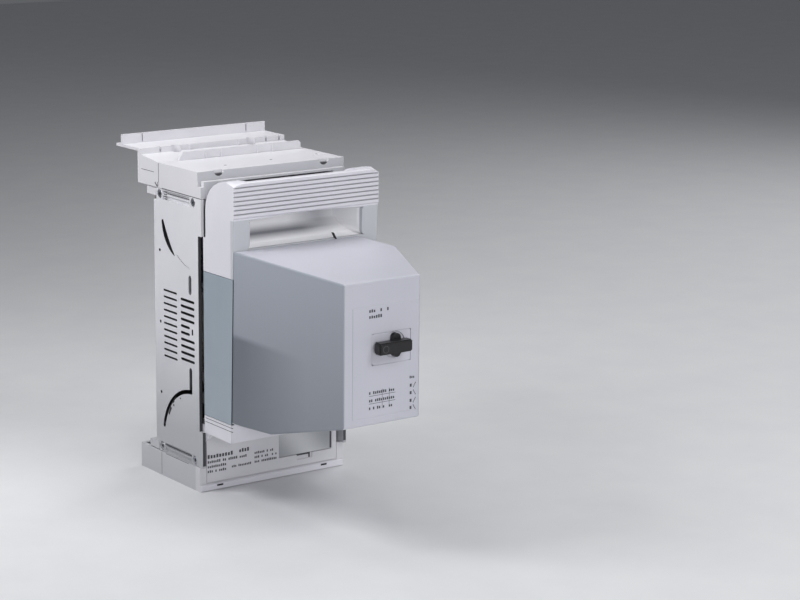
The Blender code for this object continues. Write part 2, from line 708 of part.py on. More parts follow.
def top_terminal_cover(parent):
    """The cap over the top terminal chamber, with its notched rear wall and finger moons."""
    bottom = HEIGHT - CAP_HEIGHT
    outline = [
        (-LIP, bottom),
        (BOX_DEPTH, bottom),
        (BOX_DEPTH, HEIGHT),
        (0.0, HEIGHT),
        (0.0, bottom + BOX_LIP_HEIGHT),
        (-LIP, bottom + BOX_LIP_HEIGHT),
    ]
    block = slab(outline, -WIDTH / 2, WIDTH / 2, "X")
    cover = add_object("top_terminal_cover", block, chassis_plastic(), parent)
    inside = (WALL - WIDTH / 2, WIDTH / 2 - WALL)
    cut(cover, boxes((inside, (WALL, BOX_DEPTH - WALL), (bottom - WALL, HEIGHT - WALL))), "chamber")
    slot = ((BOX_SLOT_INSET - WIDTH / 2, WIDTH / 2 - BOX_SLOT_INSET), (-LIP - WALL, 2 * WALL))
    corners = [(*slot, (bottom + BOX_SLOT[0], bottom + BOX_SLOT[1]))]
    for side in (-1, 1):
        x = sorted((side * (WIDTH / 2 - BOX_LIP_CORNER[0]), side * (WIDTH / 2 + WALL)))
        z = (bottom + BOX_LIP_HEIGHT - BOX_LIP_CORNER[1], bottom + BOX_LIP_HEIGHT + GAP)
        corners.append((x, (-LIP - WALL, -GAP), z))
    cut(cover, boxes(*corners), "lip_openings")
    wall = (BOX_DEPTH - GAP - NOTCH_WALL_THICK, BOX_DEPTH - GAP)
    left, right = NOTCH_WALL_SPAN
    root = HEIGHT - WALL / 2
    profile = [(left, root), (right, root), (right, NOTCH_WALL_TOP - NOTCH_WALL_CORNER)]
    profile += [(right - NOTCH_WALL_CORNER, NOTCH_WALL_TOP), (left + NOTCH_WALL_RAMP, NOTCH_WALL_TOP)]
    join(cover, slab(profile, *wall, "Y"), "rear_wall")
    notches, ribs = [], []
    for centre in NOTCH_CENTRES:
        x = (centre - NOTCH_WIDTH / 2, centre + NOTCH_WIDTH / 2)
        notches.append((x, (wall[0] - WALL, wall[0] + NOTCH_SET_BACK), (HEIGHT, NOTCH_WALL_TOP + WALL)))
        for low in (x[0] - NOTCH_RIB[0], x[1]):
            run = (wall[0] - NOTCH_RIB[1], wall[0] + NOTCH_WALL_THICK / 2)
            ribs.append(((low, low + NOTCH_RIB[0]), run, (root, NOTCH_WALL_TOP - GAP)))
    cut(cover, boxes(*notches), "notches")
    join(cover, boxes(*ribs), "notch_ribs")
    moon_x = WIDTH / 2 - MOON_INSET
    moons = [((x, -MOON_DEPTH, HEIGHT), (x, MOON_DEPTH, HEIGHT), MOON_R) for x in (-moon_x, moon_x)]
    cut(cover, rods(*moons, sides=20), "moons")
    holes = []
    for phase in (-1, 0, 1):
        x = TEST_HOLE_SHIFT + phase * (PITCH + TEST_HOLE_SPREAD)
        holes.append(((x, TEST_HOLE_Y, HEIGHT - 2 * WALL), (x, TEST_HOLE_Y, HEIGHT + WALL), TEST_HOLE_R))
    cut(cover, rods(*holes, sides=10), "test_holes")
    return cover


def top_rear_cover(parent):
    """The rear cap: a block whose top slopes up to a busbar shelf with an upright fin."""
    bottom = HEIGHT - CAP_HEIGHT
    front = BOX_DEPTH + GAP
    slope_top = SHELF_TOP - SHELF_THICK
    outline = [
        (front, bottom),
        (REAR_DEPTH, bottom),
        (REAR_DEPTH, slope_top),
        (SHELF_DEPTH, slope_top),
        (SHELF_DEPTH, SHELF_TOP),
        (FIN_Y + FIN_THICK / 2, SHELF_TOP),
        (FIN_Y + FIN_THICK / 2, FIN_TOP),
        (FIN_Y - FIN_THICK / 2, FIN_TOP),
        (FIN_Y - FIN_THICK / 2, SHELF_TOP),
        (SHELF_FRONT, SHELF_TOP),
        (SHELF_FRONT, SHELF_TOP - SHELF_STEP),
        (front, HEIGHT),
    ]
    cover = add_object("top_rear_cover", slab(outline, -WIDTH / 2, WIDTH / 2, "X"), chassis_plastic(), parent)
    inside = (WALL - WIDTH / 2, WIDTH / 2 - WALL)
    cut(cover, boxes((inside, (front + WALL, REAR_DEPTH - WALL), (bottom - WALL, HEIGHT - WALL))), "chamber")
    wells, slots = [], []
    for side in (-1, 1):
        x = side * (WIDTH / 2 - WELL_INSET)
        wells.append(((x, SHELF_FRONT, HEIGHT), (x, SHELF_FRONT, SHELF_TOP + WALL), WELL_R))
        x = side * (WIDTH / 2 - FIN_SLIT_INSET)
        slots.append(
            (
                (x - FIN_SLIT / 2, x + FIN_SLIT / 2),
                (FIN_Y - FIN_THICK, FIN_Y + FIN_THICK),
                (SHELF_TOP + FIN_SLIT, FIN_TOP + WALL),
            )
        )
    step_z = SHELF_TOP - SHELF_STEP
    for side, inset in zip((-1, 1, 1), SHELF_SLIT_INSETS):
        x = side * (WIDTH / 2 - inset)
        span = (x - SHELF_SLIT[0] / 2, x + SHELF_SLIT[0] / 2)
        run = (SHELF_FRONT - WALL, SHELF_FRONT + SHELF_SLIT[1])
        slots.append((span, run, (step_z + GAP, SHELF_TOP + WALL)))
    posts = []
    for x in (-SHELF_POST_X, SHELF_POST_X):
        span = (x - SHELF_POST[0] / 2, x + SHELF_POST[0] / 2)
        run = (SHELF_FRONT - SHELF_POST[1], SHELF_FRONT + WALL)
        posts.append((span, run, (step_z - WALL, SHELF_TOP - GAP)))
    join(cover, boxes(*posts), "shelf_posts")
    cut(cover, rods(*wells, sides=16), "wells")
    cut(cover, boxes(*slots), "slits")
    return cover


def bottom_terminal_cover(parent):
    """The cap under the bottom terminal chamber, with a seat for the front panel and a notched lip."""
    outline = [(0.0, 0.0), (BOX_DEPTH, 0.0), (BOX_DEPTH, CAP_HEIGHT), (0.0, CAP_HEIGHT)]
    block = slab(outline, -WIDTH / 2, WIDTH / 2, "X")
    cover = add_object("bottom_terminal_cover", block, chassis_plastic(), parent)
    seat = PANEL_THICK + GAP
    inside = (WALL - WIDTH / 2, WIDTH / 2 - WALL)
    cut(cover, boxes((inside, (seat + WALL, BOX_DEPTH - WALL), (WALL, CAP_HEIGHT + WALL))), "chamber")
    seat_x = (-PANEL_X - GAP, PANEL_X + GAP)
    cut(cover, boxes((seat_x, (-WALL, seat), (PANEL_BOTTOM - GAP, CAP_HEIGHT + WALL))), "panel_seat")
    notches = []
    for x in LIP_NOTCHES:
        span = (x - LIP_NOTCH[0] / 2, x + LIP_NOTCH[0] / 2)
        notches.append((span, (-WALL, WALL / 2), (-WALL, LIP_NOTCH[1])))
    cut(cover, boxes(*notches), "lip_notches")
    return cover


def bottom_rear_cover(parent):
    """The rear cap at the bottom, open towards the chassis."""
    outline = [
        (BOX_DEPTH + GAP, 0.0),
        (REAR_DEPTH, 0.0),
        (REAR_DEPTH, CAP_HEIGHT),
        (BOX_DEPTH + GAP, CAP_HEIGHT),
    ]
    block = slab(outline, -WIDTH / 2, WIDTH / 2, "X")
    cover = add_object("bottom_rear_cover", block, chassis_plastic(), parent)
    inside = (WALL - WIDTH / 2, WIDTH / 2 - WALL)
    chamber = (inside, (BOX_DEPTH + GAP + WALL, REAR_DEPTH - WALL), (WALL, CAP_HEIGHT + WALL))
    cut(cover, boxes(chamber), "chamber")
    return cover


def terminal_front_panel(parent):
    """The front panel over the outgoing terminals, with a sunk seat and pull tab for the label."""
    outline = [(-PANEL_X, PANEL_BOTTOM), (PANEL_X, PANEL_BOTTOM), (PANEL_X, PANEL_TOP), (-PANEL_X, PANEL_TOP)]
    plate = slab(outline, 0.0, PANEL_THICK, "Y")
    panel = add_object("terminal_front_panel", plate, chassis_plastic(), parent)
    seat = (LABEL_X, (-WALL, LABEL_DEPTH), LABEL_Z)
    tab = (LABEL_TAB_X, (-WALL, LABEL_DEPTH / 2), (LABEL_TAB_Z, LABEL_Z[0] + WALL))
    cut(panel, boxes(seat), "label_seat")
    cut(panel, boxes(tab), "label_tab")
    return panel


def label_slide(parent):
    """The loose label strip in the front panel's seat."""
    x = (LABEL_X[0] + GAP, LABEL_X[1] - GAP)
    z = (LABEL_Z[0] + GAP, LABEL_Z[1] - GAP)
    outline = [(x[0], z[0]), (x[1], z[0]), (x[1], z[1]), (x[0], z[1])]
    back = LABEL_DEPTH - GAP
    return add_object("label_slide", slab(outline, back - LABEL_THICK, back, "Y"), label_film(), parent)


def contact_jaw(name, phase, centre_z, parent):
    """A spring jaw bent from strip: two flared leaves that grip a fuse blade."""
    x = phase * PITCH
    inner = BLADE_THICK / 2 + JAW_GRIP
    outer = inner + JAW_THICK
    back = BACK_FRONT - GAP
    tip = JAW_FRONT + JAW_FLARE
    right = [
        (outer, back),
        (outer, tip),
        (outer + JAW_FLARE * 0.7, JAW_FRONT),
        (outer + JAW_FLARE * 0.7 - JAW_THICK * 0.7, JAW_FRONT - JAW_THICK * 0.3),
        (inner, tip),
        (inner, back - JAW_THICK),
    ]
    left = [(-u, v) for u, v in reversed(right)]
    outline = [(x + u, v) for u, v in right + left]
    low = centre_z - JAW_HEIGHT / 2
    return add_object(name, slab(outline, low, low + JAW_HEIGHT, "Z"), silvered_copper(), parent)


def outgoing_terminal(name, phase, top_z, parent):
    """A copper angle from the lower jaw down to the cable bolt."""
    back = BACK_FRONT - GAP
    outline = [
        (TERMINAL_FRONT, TERMINAL_FOOT_Z),
        (back, TERMINAL_FOOT_Z),
        (back, top_z),
        (back - TERMINAL_THICK, top_z),
        (back - TERMINAL_THICK, TERMINAL_FOOT_Z + TERMINAL_THICK),
        (TERMINAL_FRONT, TERMINAL_FOOT_Z + TERMINAL_THICK),
    ]
    x = phase * PITCH
    mesh = slab(outline, x - TERMINAL_WIDTH / 2, x + TERMINAL_WIDTH / 2, "X")
    terminal = add_object(name, mesh, silvered_copper(), parent)
    low = TERMINAL_FOOT_Z - TERMINAL_THICK
    high = TERMINAL_FOOT_Z + 2 * TERMINAL_THICK
    cut(terminal, rods(((x, BOLT_Y, low), (x, BOLT_Y, high), BOLT_R + GAP)), "bolt_hole")
    return terminal


def terminal_bolt(name, phase, parent):
    """A hexagon bolt through the terminal's foot."""
    x = phase * PITCH
    seat = TERMINAL_FOOT_Z + TERMINAL_THICK + GAP
    head = bmesh.new()
    add_rod(head, (x, BOLT_Y, seat), (x, BOLT_Y, seat + BOLT_HEAD_HEIGHT), BOLT_HEAD_R, 6)
    bolt = add_object(name, mesh_from(head), steel(), parent)
    end = seat + BOLT_HEAD_HEIGHT / 2 - BOLT_LENGTH
    join(bolt, rods(((x, BOLT_Y, end), (x, BOLT_Y, seat + BOLT_HEAD_HEIGHT / 2), BOLT_R)), "shank")
    return bolt


def busbar_claw(name, phase, parent):
    """A copper hook that hangs on its own busbar and carries the current in."""
    centre = MID_Z - phase * BAR_PITCH
    front = PLATE_DEPTH + GAP
    inner = front + CLAW_THICK
    far = inner + BAR_GAP
    top = centre + BAR_REACH
    outline = [
        (front, centre - CLAW_DROP),
        (inner, centre - CLAW_DROP),
        (inner, top),
        (far, top),
        (far, top - CLAW_LIP),
        (far + CLAW_THICK, top - CLAW_LIP),
        (far + CLAW_THICK, top + CLAW_THICK),
        (front, top + CLAW_THICK),
    ]
    x = phase * PITCH
    mesh = slab(outline, x - CLAW_WIDTH / 2, x + CLAW_WIDTH / 2, "X")
    return add_object(name, mesh, silvered_copper(), parent)


def lid_front(z):
    """Y of the lid's front face at a height: it leans out towards the top."""
    share = (z - LID_BOTTOM) / (GRIP_BEND - LID_BOTTOM)
    return LID_FRONT_LOW + (LID_FRONT_HIGH - LID_FRONT_LOW) * min(share, 1.0)


def sliced(mesh, places):
    """A bmesh of the mesh, cut across at the given X so that it can be bent."""
    form = bmesh.new()
    form.from_mesh(mesh)
    for x in places:
        geometry = form.verts[:] + form.edges[:] + form.faces[:]
        bmesh.ops.bisect_plane(form, geom=geometry, plane_co=(x, 0, 0), plane_no=(1, 0, 0), dist=WELD)
    bpy.data.meshes.remove(mesh)
    return form


def lid_block(steps=4):
    """The lid as a solid bar of its outline, with the handle's front edge rounded down at both ends."""
    start = LID_X - HANDLE_END_RUN
    places = [side * (start + HANDLE_END_RUN * step / steps) for side in (-1, 1) for step in range(steps)]
    form = sliced(slab(lid_outline(), -LID_X, LID_X, "X"), places)
    ends = [face for face in form.faces if all(abs(vertex.co.x) > LID_X - WELD for vertex in face.verts)]
    bmesh.ops.dissolve_faces(form, faces=ends)
    root = HANDLE_BOTTOM + (RIB_COUNT - 1) * RIB_PITCH
    crest_y = LID_BACK_HIGH - LID_CORNER[0]
    for vertex in form.verts:
        across = max(abs(vertex.co.x) - start, 0.0) / HANDLE_END_RUN
        up = max(vertex.co.z - root, 0.0) / (LID_TOP - root)
        forward = max(crest_y - vertex.co.y, 0.0) / (crest_y - LID_FRONT_HIGH)
        vertex.co.z -= HANDLE_END_DROP * across**2 * min(up, 1.0) * min(forward, 1.0)
    bmesh.ops.triangulate(form, faces=form.faces[:])
    return mesh_from(form)


def lid_outline():
    """Side outline of the lid: up the leaning front, over the ribbed handle and round the back."""
    points = [
        (LID_BACK, LID_BOTTOM),
        (LID_FRONT_LOW, LID_BOTTOM),
        (lid_front(HOUSING_TOP), HOUSING_TOP),
        (LID_FRONT_HIGH, GRIP_BEND),
    ]
    for rib in range(RIB_COUNT):
        low = HANDLE_BOTTOM + rib * RIB_PITCH
        ridge = LID_FRONT_HIGH - RIB_DEPTH
        points.append((LID_FRONT_HIGH, low))
        points.append((ridge, low + RIB_GROOVE))
        points.append((ridge, low + RIB_PITCH - RIB_GROOVE / 2))
    centre = (LID_BACK_HIGH - LID_CORNER[0], LID_TOP - LID_CORNER[1])
    points.append((LID_FRONT_HIGH + RIB_GROOVE, LID_TOP))
    points += arc(centre, LID_CORNER, 90.0, 0.0, 7)
    step_z = PLATE_TOP - LIP_RUN
    points += [(LID_BACK_HIGH, step_z), (LID_BACK, step_z)]
    return points


def scoop(outset):
    """The curved floor of the finger recess, moved outwards by outset."""
    centre = (LID_FRONT_HIGH, GRIP_BEND)
    radii = (GRIP_BACK - LID_FRONT_HIGH + outset, GRIP_BEND - GRIP_BOTTOM + outset)
    return arc(centre, radii, -90.0, 0.0, 8)


def grip_recess():
    """The finger recess under the handle: a scoop that runs up behind the bar."""
    past = LID_FRONT_HIGH - 4 * WALL
    bar_back = LID_FRONT_HIGH + HANDLE_DEPTH
    outline = [(past, GRIP_BOTTOM)] + scoop(0.0)
    outline += [
        (GRIP_BACK, GRIP_TOP - 2 * WALL),
        (GRIP_BACK - 2 * WALL, GRIP_TOP),
        (bar_back, GRIP_TOP),
        (bar_back, HANDLE_BOTTOM + RIB_GROOVE),
        (past, HANDLE_BOTTOM - RIB_GROOVE),
    ]
    reach = LID_X - GRIP_INSET
    form = sliced(slab(outline, -reach, reach, "X"), [reach * step / 4 for step in range(-3, 4)])
    for vertex in form.verts:
        if abs(vertex.co.z - HANDLE_BOTTOM) < WALL:
            vertex.co.z -= GRIP_ARCH * (vertex.co.x / reach) ** 2
        depth = max(vertex.co.y - LID_FRONT_HIGH, 0.0)
        vertex.co.x *= 1 - depth * GRIP_FLARE / reach
    bmesh.ops.triangulate(form, faces=form.faces[:])
    return mesh_from(form)


def lid_cavity():
    """The hollow of the lid, open towards the chassis and bounded above by the scoop's wall."""
    past = -LID_BACK
    outline = [(past, LID_BOTTOM + LID_WALL), (lid_front(LID_BOTTOM) + LID_WALL, LID_BOTTOM + LID_WALL)]
    wall = scoop(LID_WALL)
    outline.append((lid_front(wall[0][1]) + LID_WALL, wall[1][1]))
    outline += wall[2:]
    corner_z = LID_TOP - LID_CORNER[1]
    outline += [(wall[-1][0], corner_z + WALL), (LID_BACK_HIGH - WALL, corner_z), (past, corner_z)]
    return slab(outline, -CAVITY_X, CAVITY_X, "X")


def hinge_arm(side):
    """A flat arm from the lid's cheek down to the pivot and back to the guide pin."""
    angle = math.radians(ARC_START)
    pin = (PIVOT_Y + ARC_R * math.cos(angle), PIVOT_Z + ARC_R * math.sin(angle))
    boss = (PIVOT_Y, PIVOT_Z)
    outline = (
        arc(boss, (ARM_BOSS_R, ARM_BOSS_R), 150.0, 285.0, 7)
        + arc(pin, (GUIDE_LOBE_R, GUIDE_LOBE_R), -75.0, 100.0, 6)
        + [(boss[0] + ARM_BOSS_R * 1.6, boss[1] + ARM_BOSS_R * 1.4)]
        + [(ARM_ROOT[1], ARM_ROOT_SPAN[1]), (ARM_ROOT[0], ARM_ROOT_SPAN[1]), (ARM_ROOT[0], ARM_ROOT_SPAN[0])]
    )
    limits = sorted((side * ARM_INNER_X, side * ARM_OUTER_X))
    hole = ring(*boss, PIVOT_R + PIVOT_CLEARANCE, 24)
    return slab(outline, *limits, "X", [hole])


def guide_pin(side):
    """The round pin on the arm that runs in the side plate's slot."""
    angle = math.radians(ARC_START)
    y, z = PIVOT_Y + ARC_R * math.cos(angle), PIVOT_Z + ARC_R * math.sin(angle)
    start = (side * (ARM_INNER_X + ARM_THICK / 2), y, z)
    end = (side * (WIDTH / 2 - GAP), y, z)
    return rods((start, end, GUIDE_PIN_R), sides=14)


def lid_frame(parent):
    """The lid moulding: cheeks, leaning front, ribbed handle, scoop, ribs and hinge arms."""
    frame = add_object("lid_frame", lid_block(), lid_plastic(), parent)
    cut(frame, lid_cavity(), "cavity")
    cut(frame, grip_recess(), "finger_recess")
    near, far = HANDLE_DIP_Y
    above = LID_TOP + WALL
    dip = [(near, LID_TOP + GAP), (far, LID_TOP - HANDLE_DIP_DROP), (far, above), (near, above)]
    cut(frame, slab(dip, HANDLE_DIP_INSET - LID_X, LID_X - HANDLE_DIP_INSET, "X"), "handle_dip")
    pocket_x = LID_X - WINDOW_THICK - GAP
    pockets, openings, ribs = [], [], []
    for side in (-1, 1):
        x = sorted((side * pocket_x, side * (LID_X + WALL)))
        z = (WINDOW_BOTTOM - GAP, WINDOW_TOP + GAP)
        pockets.append((x, (LID_FRONT_HIGH - WALL, -LID_BACK), z))
        x = sorted((side * (CAVITY_X - WALL), side * (LID_X + WALL)))
        y = (LID_FRONT_LOW + WINDOW_MARGIN, LID_BACK - WINDOW_MARGIN)
        openings.append((x, y, (WINDOW_BOTTOM + 4 * WINDOW_MARGIN, WINDOW_TOP - WINDOW_MARGIN)))
    cut(frame, boxes(*pockets), "window_seats")
    cut(frame, boxes(*openings), "window_openings")
    for z in (MID_Z - CRADLE_RISE, MID_Z + CRADLE_RISE):
        half = CRADLE_THICK / 2
        y = (lid_front(z) + LID_WALL / 2, FUSE_FRONT - GAP)
        ribs.append(((-CAVITY_X - WALL / 4, CAVITY_X + WALL / 4), y, (z - half, z + half)))
    join(frame, boxes(*ribs), "fuse_cradles")
    low, high, back = WINDOW_BOTTOM, GRIP_BOTTOM - 3 * WALL, LID_BACK - WALL
    root = LID_WALL / 2
    wall = [(lid_front(low) + root, low), (lid_front(high) + root, high), (back, high), (back, low)]
    for x, label in ((-PITCH / 2, "left"), (PITCH / 2, "right")):
        join(frame, slab(wall, x - LID_RIB / 2, x + LID_RIB / 2, "X"), f"{label}_phase_rib")
    for side, label in ((-1, "left"), (1, "right")):
        join(frame, hinge_arm(side), f"{label}_arm")
        join(frame, guide_pin(side), f"{label}_guide_pin")
    return frame


def sight_window(name, side, parent):
    """A flat tinted pane let into the lid's cheek."""
    outline = [
        (LID_BACK, WINDOW_BOTTOM),
        (lid_front(WINDOW_BOTTOM), WINDOW_BOTTOM),
        (lid_front(WINDOW_TOP), WINDOW_TOP),
        (LID_BACK, WINDOW_TOP),
    ]
    limits = sorted((side * (LID_X - WINDOW_THICK), side * LID_X))
    return add_object(name, slab(outline, *limits, "X"), window_plastic(), parent)


def fuse_body(name, phase, parent):
    """The square ceramic tube of a fuse link, with a wider end plate at the top and the bottom."""
    x = phase * PITCH
    half = FUSE_WIDTH / 2
    chamfer = FUSE_WIDTH / 8
    back = FUSE_FRONT + FUSE_DEPTH
    outline = [
        (x - half + chamfer, FUSE_FRONT),
        (x + half - chamfer, FUSE_FRONT),
        (x + half, FUSE_FRONT + chamfer),
        (x + half, back - chamfer),
        (x + half - chamfer, back),
        (x - half + chamfer, back),
        (x - half, back - chamfer),
        (x - half, FUSE_FRONT + chamfer),
    ]
    low, high = MID_Z - FUSE_HEIGHT / 2, MID_Z + FUSE_HEIGHT / 2
    body = add_object(name, slab(outline, low, high, "Z"), ceramic(), parent)
    groove = FUSE_WIDTH / 30
    y = (FUSE_FRONT + 2 * chamfer, back + WALL)
    grooves = []
    for side in (-1, 1):
        wall = sorted((x + side * (half - groove), x + side * (half + WALL)))
        grooves.append((wall, y, (low + FUSE_CAP, high - FUSE_CAP)))
    cut(body, boxes(*grooves), "flanks")
    return body


def fuse_blade(name, phase, end, parent):
    """A silvered knife blade that stands on the end of a fuse link, with its rear tip bevelled."""
    root = MID_Z + end * (FUSE_HEIGHT / 2 + GAP)
    tip = MID_Z + end * BLADE_REACH
    shoulder = tip - end * BLADE_CHAMFER
    back = BLADE_FRONT + BLADE_DEPTH
    outline = [
        (BLADE_FRONT, root),
        (back, root),
        (back, shoulder),
        (back - BLADE_CHAMFER, tip),
        (BLADE_FRONT + BLADE_CHAMFER / 3, tip),
        (BLADE_FRONT, tip - end * BLADE_CHAMFER / 3),
    ]
    x = phase * PITCH
    mesh = slab(outline, x - BLADE_THICK / 2, x + BLADE_THICK / 2, "X")
    return add_object(name, mesh, silvered_copper(), parent)


def housing_form(inset):
    """The monitoring unit's case as a closed form, with every wall moved in by inset."""
    run, draw = HOUSING_SHOULDER - HOUSING_FRONT, HOUSING_RIGHT - HOUSING_CORNER
    length = math.hypot(run, draw)
    left, right, top = HOUSING_LEFT + inset, HOUSING_RIGHT - inset, HOUSING_TOP - inset
    front = HOUSING_FRONT + inset
    corner = HOUSING_CORNER - inset * (length - draw) / run
    shoulder = HOUSING_SHOULDER + inset * (length - run) / draw
    slope = (HOUSING_BOTTOMS[2] - HOUSING_BOTTOMS[1]) / run
    low_back = HOUSING_BOTTOMS[0] + inset
    low_shoulder = HOUSING_BOTTOMS[1] + inset - slope * (shoulder - HOUSING_SHOULDER)
    low_front = HOUSING_BOTTOMS[2] + inset - slope * inset
    back_top, back_bottom = (lid_front(z) - GAP + 2 * inset for z in (HOUSING_TOP, HOUSING_BOTTOMS[0]))
    upper = [(left, front), (corner, front), (right, shoulder)]
    upper += [(right, back_top), (left, back_top), (left, shoulder)]
    lower = [(left, front, low_front), (corner, front, low_front), (right, shoulder, low_shoulder)]
    lower += [(right, back_bottom, low_back), (left, back_bottom, low_back), (left, shoulder, low_shoulder)]
    form = bmesh.new()
    above = [form.verts.new((*place, top)) for place in upper]
    below = [form.verts.new(place) for place in lower]
    form.faces.new(above)
    form.faces.new([below[index] for index in (0, 1, 2, 5)])
    form.faces.new([below[index] for index in (5, 2, 3, 4)])
    for index in range(len(above)):
        after = (index + 1) % len(above)
        form.faces.new((above[index], above[after], below[after], below[index]))
    bmesh.ops.recalc_face_normals(form, faces=form.faces)
    return form


def monitor_housing(parent):
    """The thin-walled case of the monitoring unit: one straight side, one drawn in, a lifted underside."""
    form = housing_form(0.0)
    rim = LID_FRONT_HIGH - WALL
    edges = [edge for edge in form.edges if min(vertex.co.y for vertex in edge.verts) < rim]
    edges = [edge for edge in edges if edge.calc_face_angle(0.0) > math.radians(12.0)]
    bmesh.ops.bevel(form, geom=edges, offset=HOUSING_EDGE, segments=2, profile=0.5, affect="EDGES")
    housing = add_object("monitor_housing", mesh_from(form), housing_plastic(), parent)
    cut(housing, mesh_from(housing_form(HOUSING_WALL)), "hollow")
    seat = (PLATE_X, (HOUSING_FRONT - WALL, HOUSING_FRONT + PLATE_LABEL_DEPTH), PLATE_Z)
    cut(housing, boxes(seat), "label_seat")
    through = (KNOB_WINDOW_X, (HOUSING_FRONT - WALL, HOUSING_FRONT + 2 * HOUSING_WALL), KNOB_WINDOW_Z)
    cut(housing, boxes(through), "knob_window")
    return housing


def monitor_label(parent):
    """The printed front film, with a window for the knob."""
    x0, x1 = PLATE_X[0] + GAP, PLATE_X[1] - GAP
    z0, z1 = PLATE_Z[0] + GAP, PLATE_Z[1] - GAP
    outline = [(x0, z0), (x1, z0), (x1, z1), (x0, z1)]
    (u0, u1), (v0, v1) = KNOB_WINDOW_X, KNOB_WINDOW_Z
    hole = [(u0, v0), (u1, v0), (u1, v1), (u0, v1)]
    back = HOUSING_FRONT + PLATE_LABEL_DEPTH - GAP
    front = HOUSING_FRONT
    return add_object("monitor_label", slab(outline, front, back, "Y", [hole]), housing_plastic(), parent)


def mounting_rail(parent):
    """A short top-hat rail on the lid that carries the monitoring breaker."""
    back = lid_front(RAIL_Z + HAT_WEB) - GAP
    front = back - HAT_DEPTH
    thick = HAT_THICK
    lower = [
        (back, RAIL_Z),
        (back, RAIL_Z - HAT_WEB),
        (front + thick, RAIL_Z - HAT_WEB),
        (front + thick, RAIL_Z - HAT_HALF),
        (front, RAIL_Z - HAT_HALF),
        (front, RAIL_Z - HAT_WEB + thick),
        (back - thick, RAIL_Z - HAT_WEB + thick),
        (back - thick, RAIL_Z),
    ]
    inner = [(u, 2 * RAIL_Z - v) for u, v in reversed(lower)]
    outline = lower[1:-1] + inner[1:-1]
    return add_object("mounting_rail", slab(outline, *HAT_SPAN, "X"), steel(), parent)


def monitor_breaker(parent):
    """The monitoring breaker's case: a hollow block behind the front, with a raised face in the window."""
    front = HOUSING_FRONT + HOUSING_WALL + GAP
    back = lid_front(RAIL_Z + HAT_WEB) - GAP - HAT_DEPTH - GAP
    case = boxes((BREAKER_X, (front, back), BREAKER_Z))
    breaker = add_object("monitor_breaker", case, housing_plastic(), parent)
    inside_x = (BREAKER_X[0] + BREAKER_WALL, BREAKER_X[1] - BREAKER_WALL)
    inside_z = (BREAKER_Z[0] + BREAKER_WALL, BREAKER_Z[1] - BREAKER_WALL)
    cut(breaker, boxes((inside_x, (front + BREAKER_WALL, back + WALL), inside_z)), "inside")
    face_x = (KNOB_WINDOW_X[0] + GAP, KNOB_WINDOW_X[1] - GAP)
    face_z = (KNOB_WINDOW_Z[0] + GAP, KNOB_WINDOW_Z[1] - GAP)
    face = (face_x, (HOUSING_FRONT + BREAKER_SET_BACK, front + BREAKER_WALL / 2), face_z)
    join(breaker, boxes(face), "face")
    start = (KNOB_X, HOUSING_FRONT - WALL, KNOB_Z)
    end = (KNOB_X, HOUSING_FRONT + BREAKER_SET_BACK + KNOB_SHAFT, KNOB_Z)
    cut(breaker, rods((start, end, KNOB_SHAFT_R + GAP), sides=20), "shaft_hole")
    return breaker


def breaker_knob(parent):
    """The rotary knob: an upright tab with a grip bar across it, made about its own axis."""
    axis = bpy.data.objects.new("knob_axis", None)
    bpy.data.collections[PART].objects.link(axis)
    axis.parent = parent
    axis.location = (KNOB_X, HOUSING_FRONT, KNOB_Z)
    tab_back = BREAKER_SET_BACK - GAP
    tab_front = -KNOB_LIFT - KNOB_TAB_HEIGHT
    outline = capsule(0.0, 0.0, -KNOB_TAB_REACH, KNOB_TAB_REACH, KNOB_TAB_R, 8)
    tab = slab(outline, tab_front, tab_back, "Y")
    knob = add_object("breaker_knob", tab, black_plastic(), axis, smooth=35)
    half_height = KNOB_BAR[1] / 2
    x = (KNOB_BAR_SHIFT - KNOB_BAR[0] / 2, KNOB_BAR_SHIFT + KNOB_BAR[0] / 2)
    bar = bmesh.new()
    y = (tab_front - KNOB_BAR_HEIGHT, tab_front + KNOB_TAB_HEIGHT / 2)
    add_box(bar, x, y, (-half_height, half_height))
    bmesh.ops.bevel(bar, geom=bar.edges[:], offset=KNOB_EDGE, segments=2, affect="EDGES")
    join(knob, mesh_from(bar), "grip_bar")
    shaft_end = BREAKER_SET_BACK + KNOB_SHAFT - GAP
    join(knob, rods(((0, tab_back - GAP, 0), (0, shaft_end, 0), KNOB_SHAFT_R), sides=20), "shaft")
    return knob


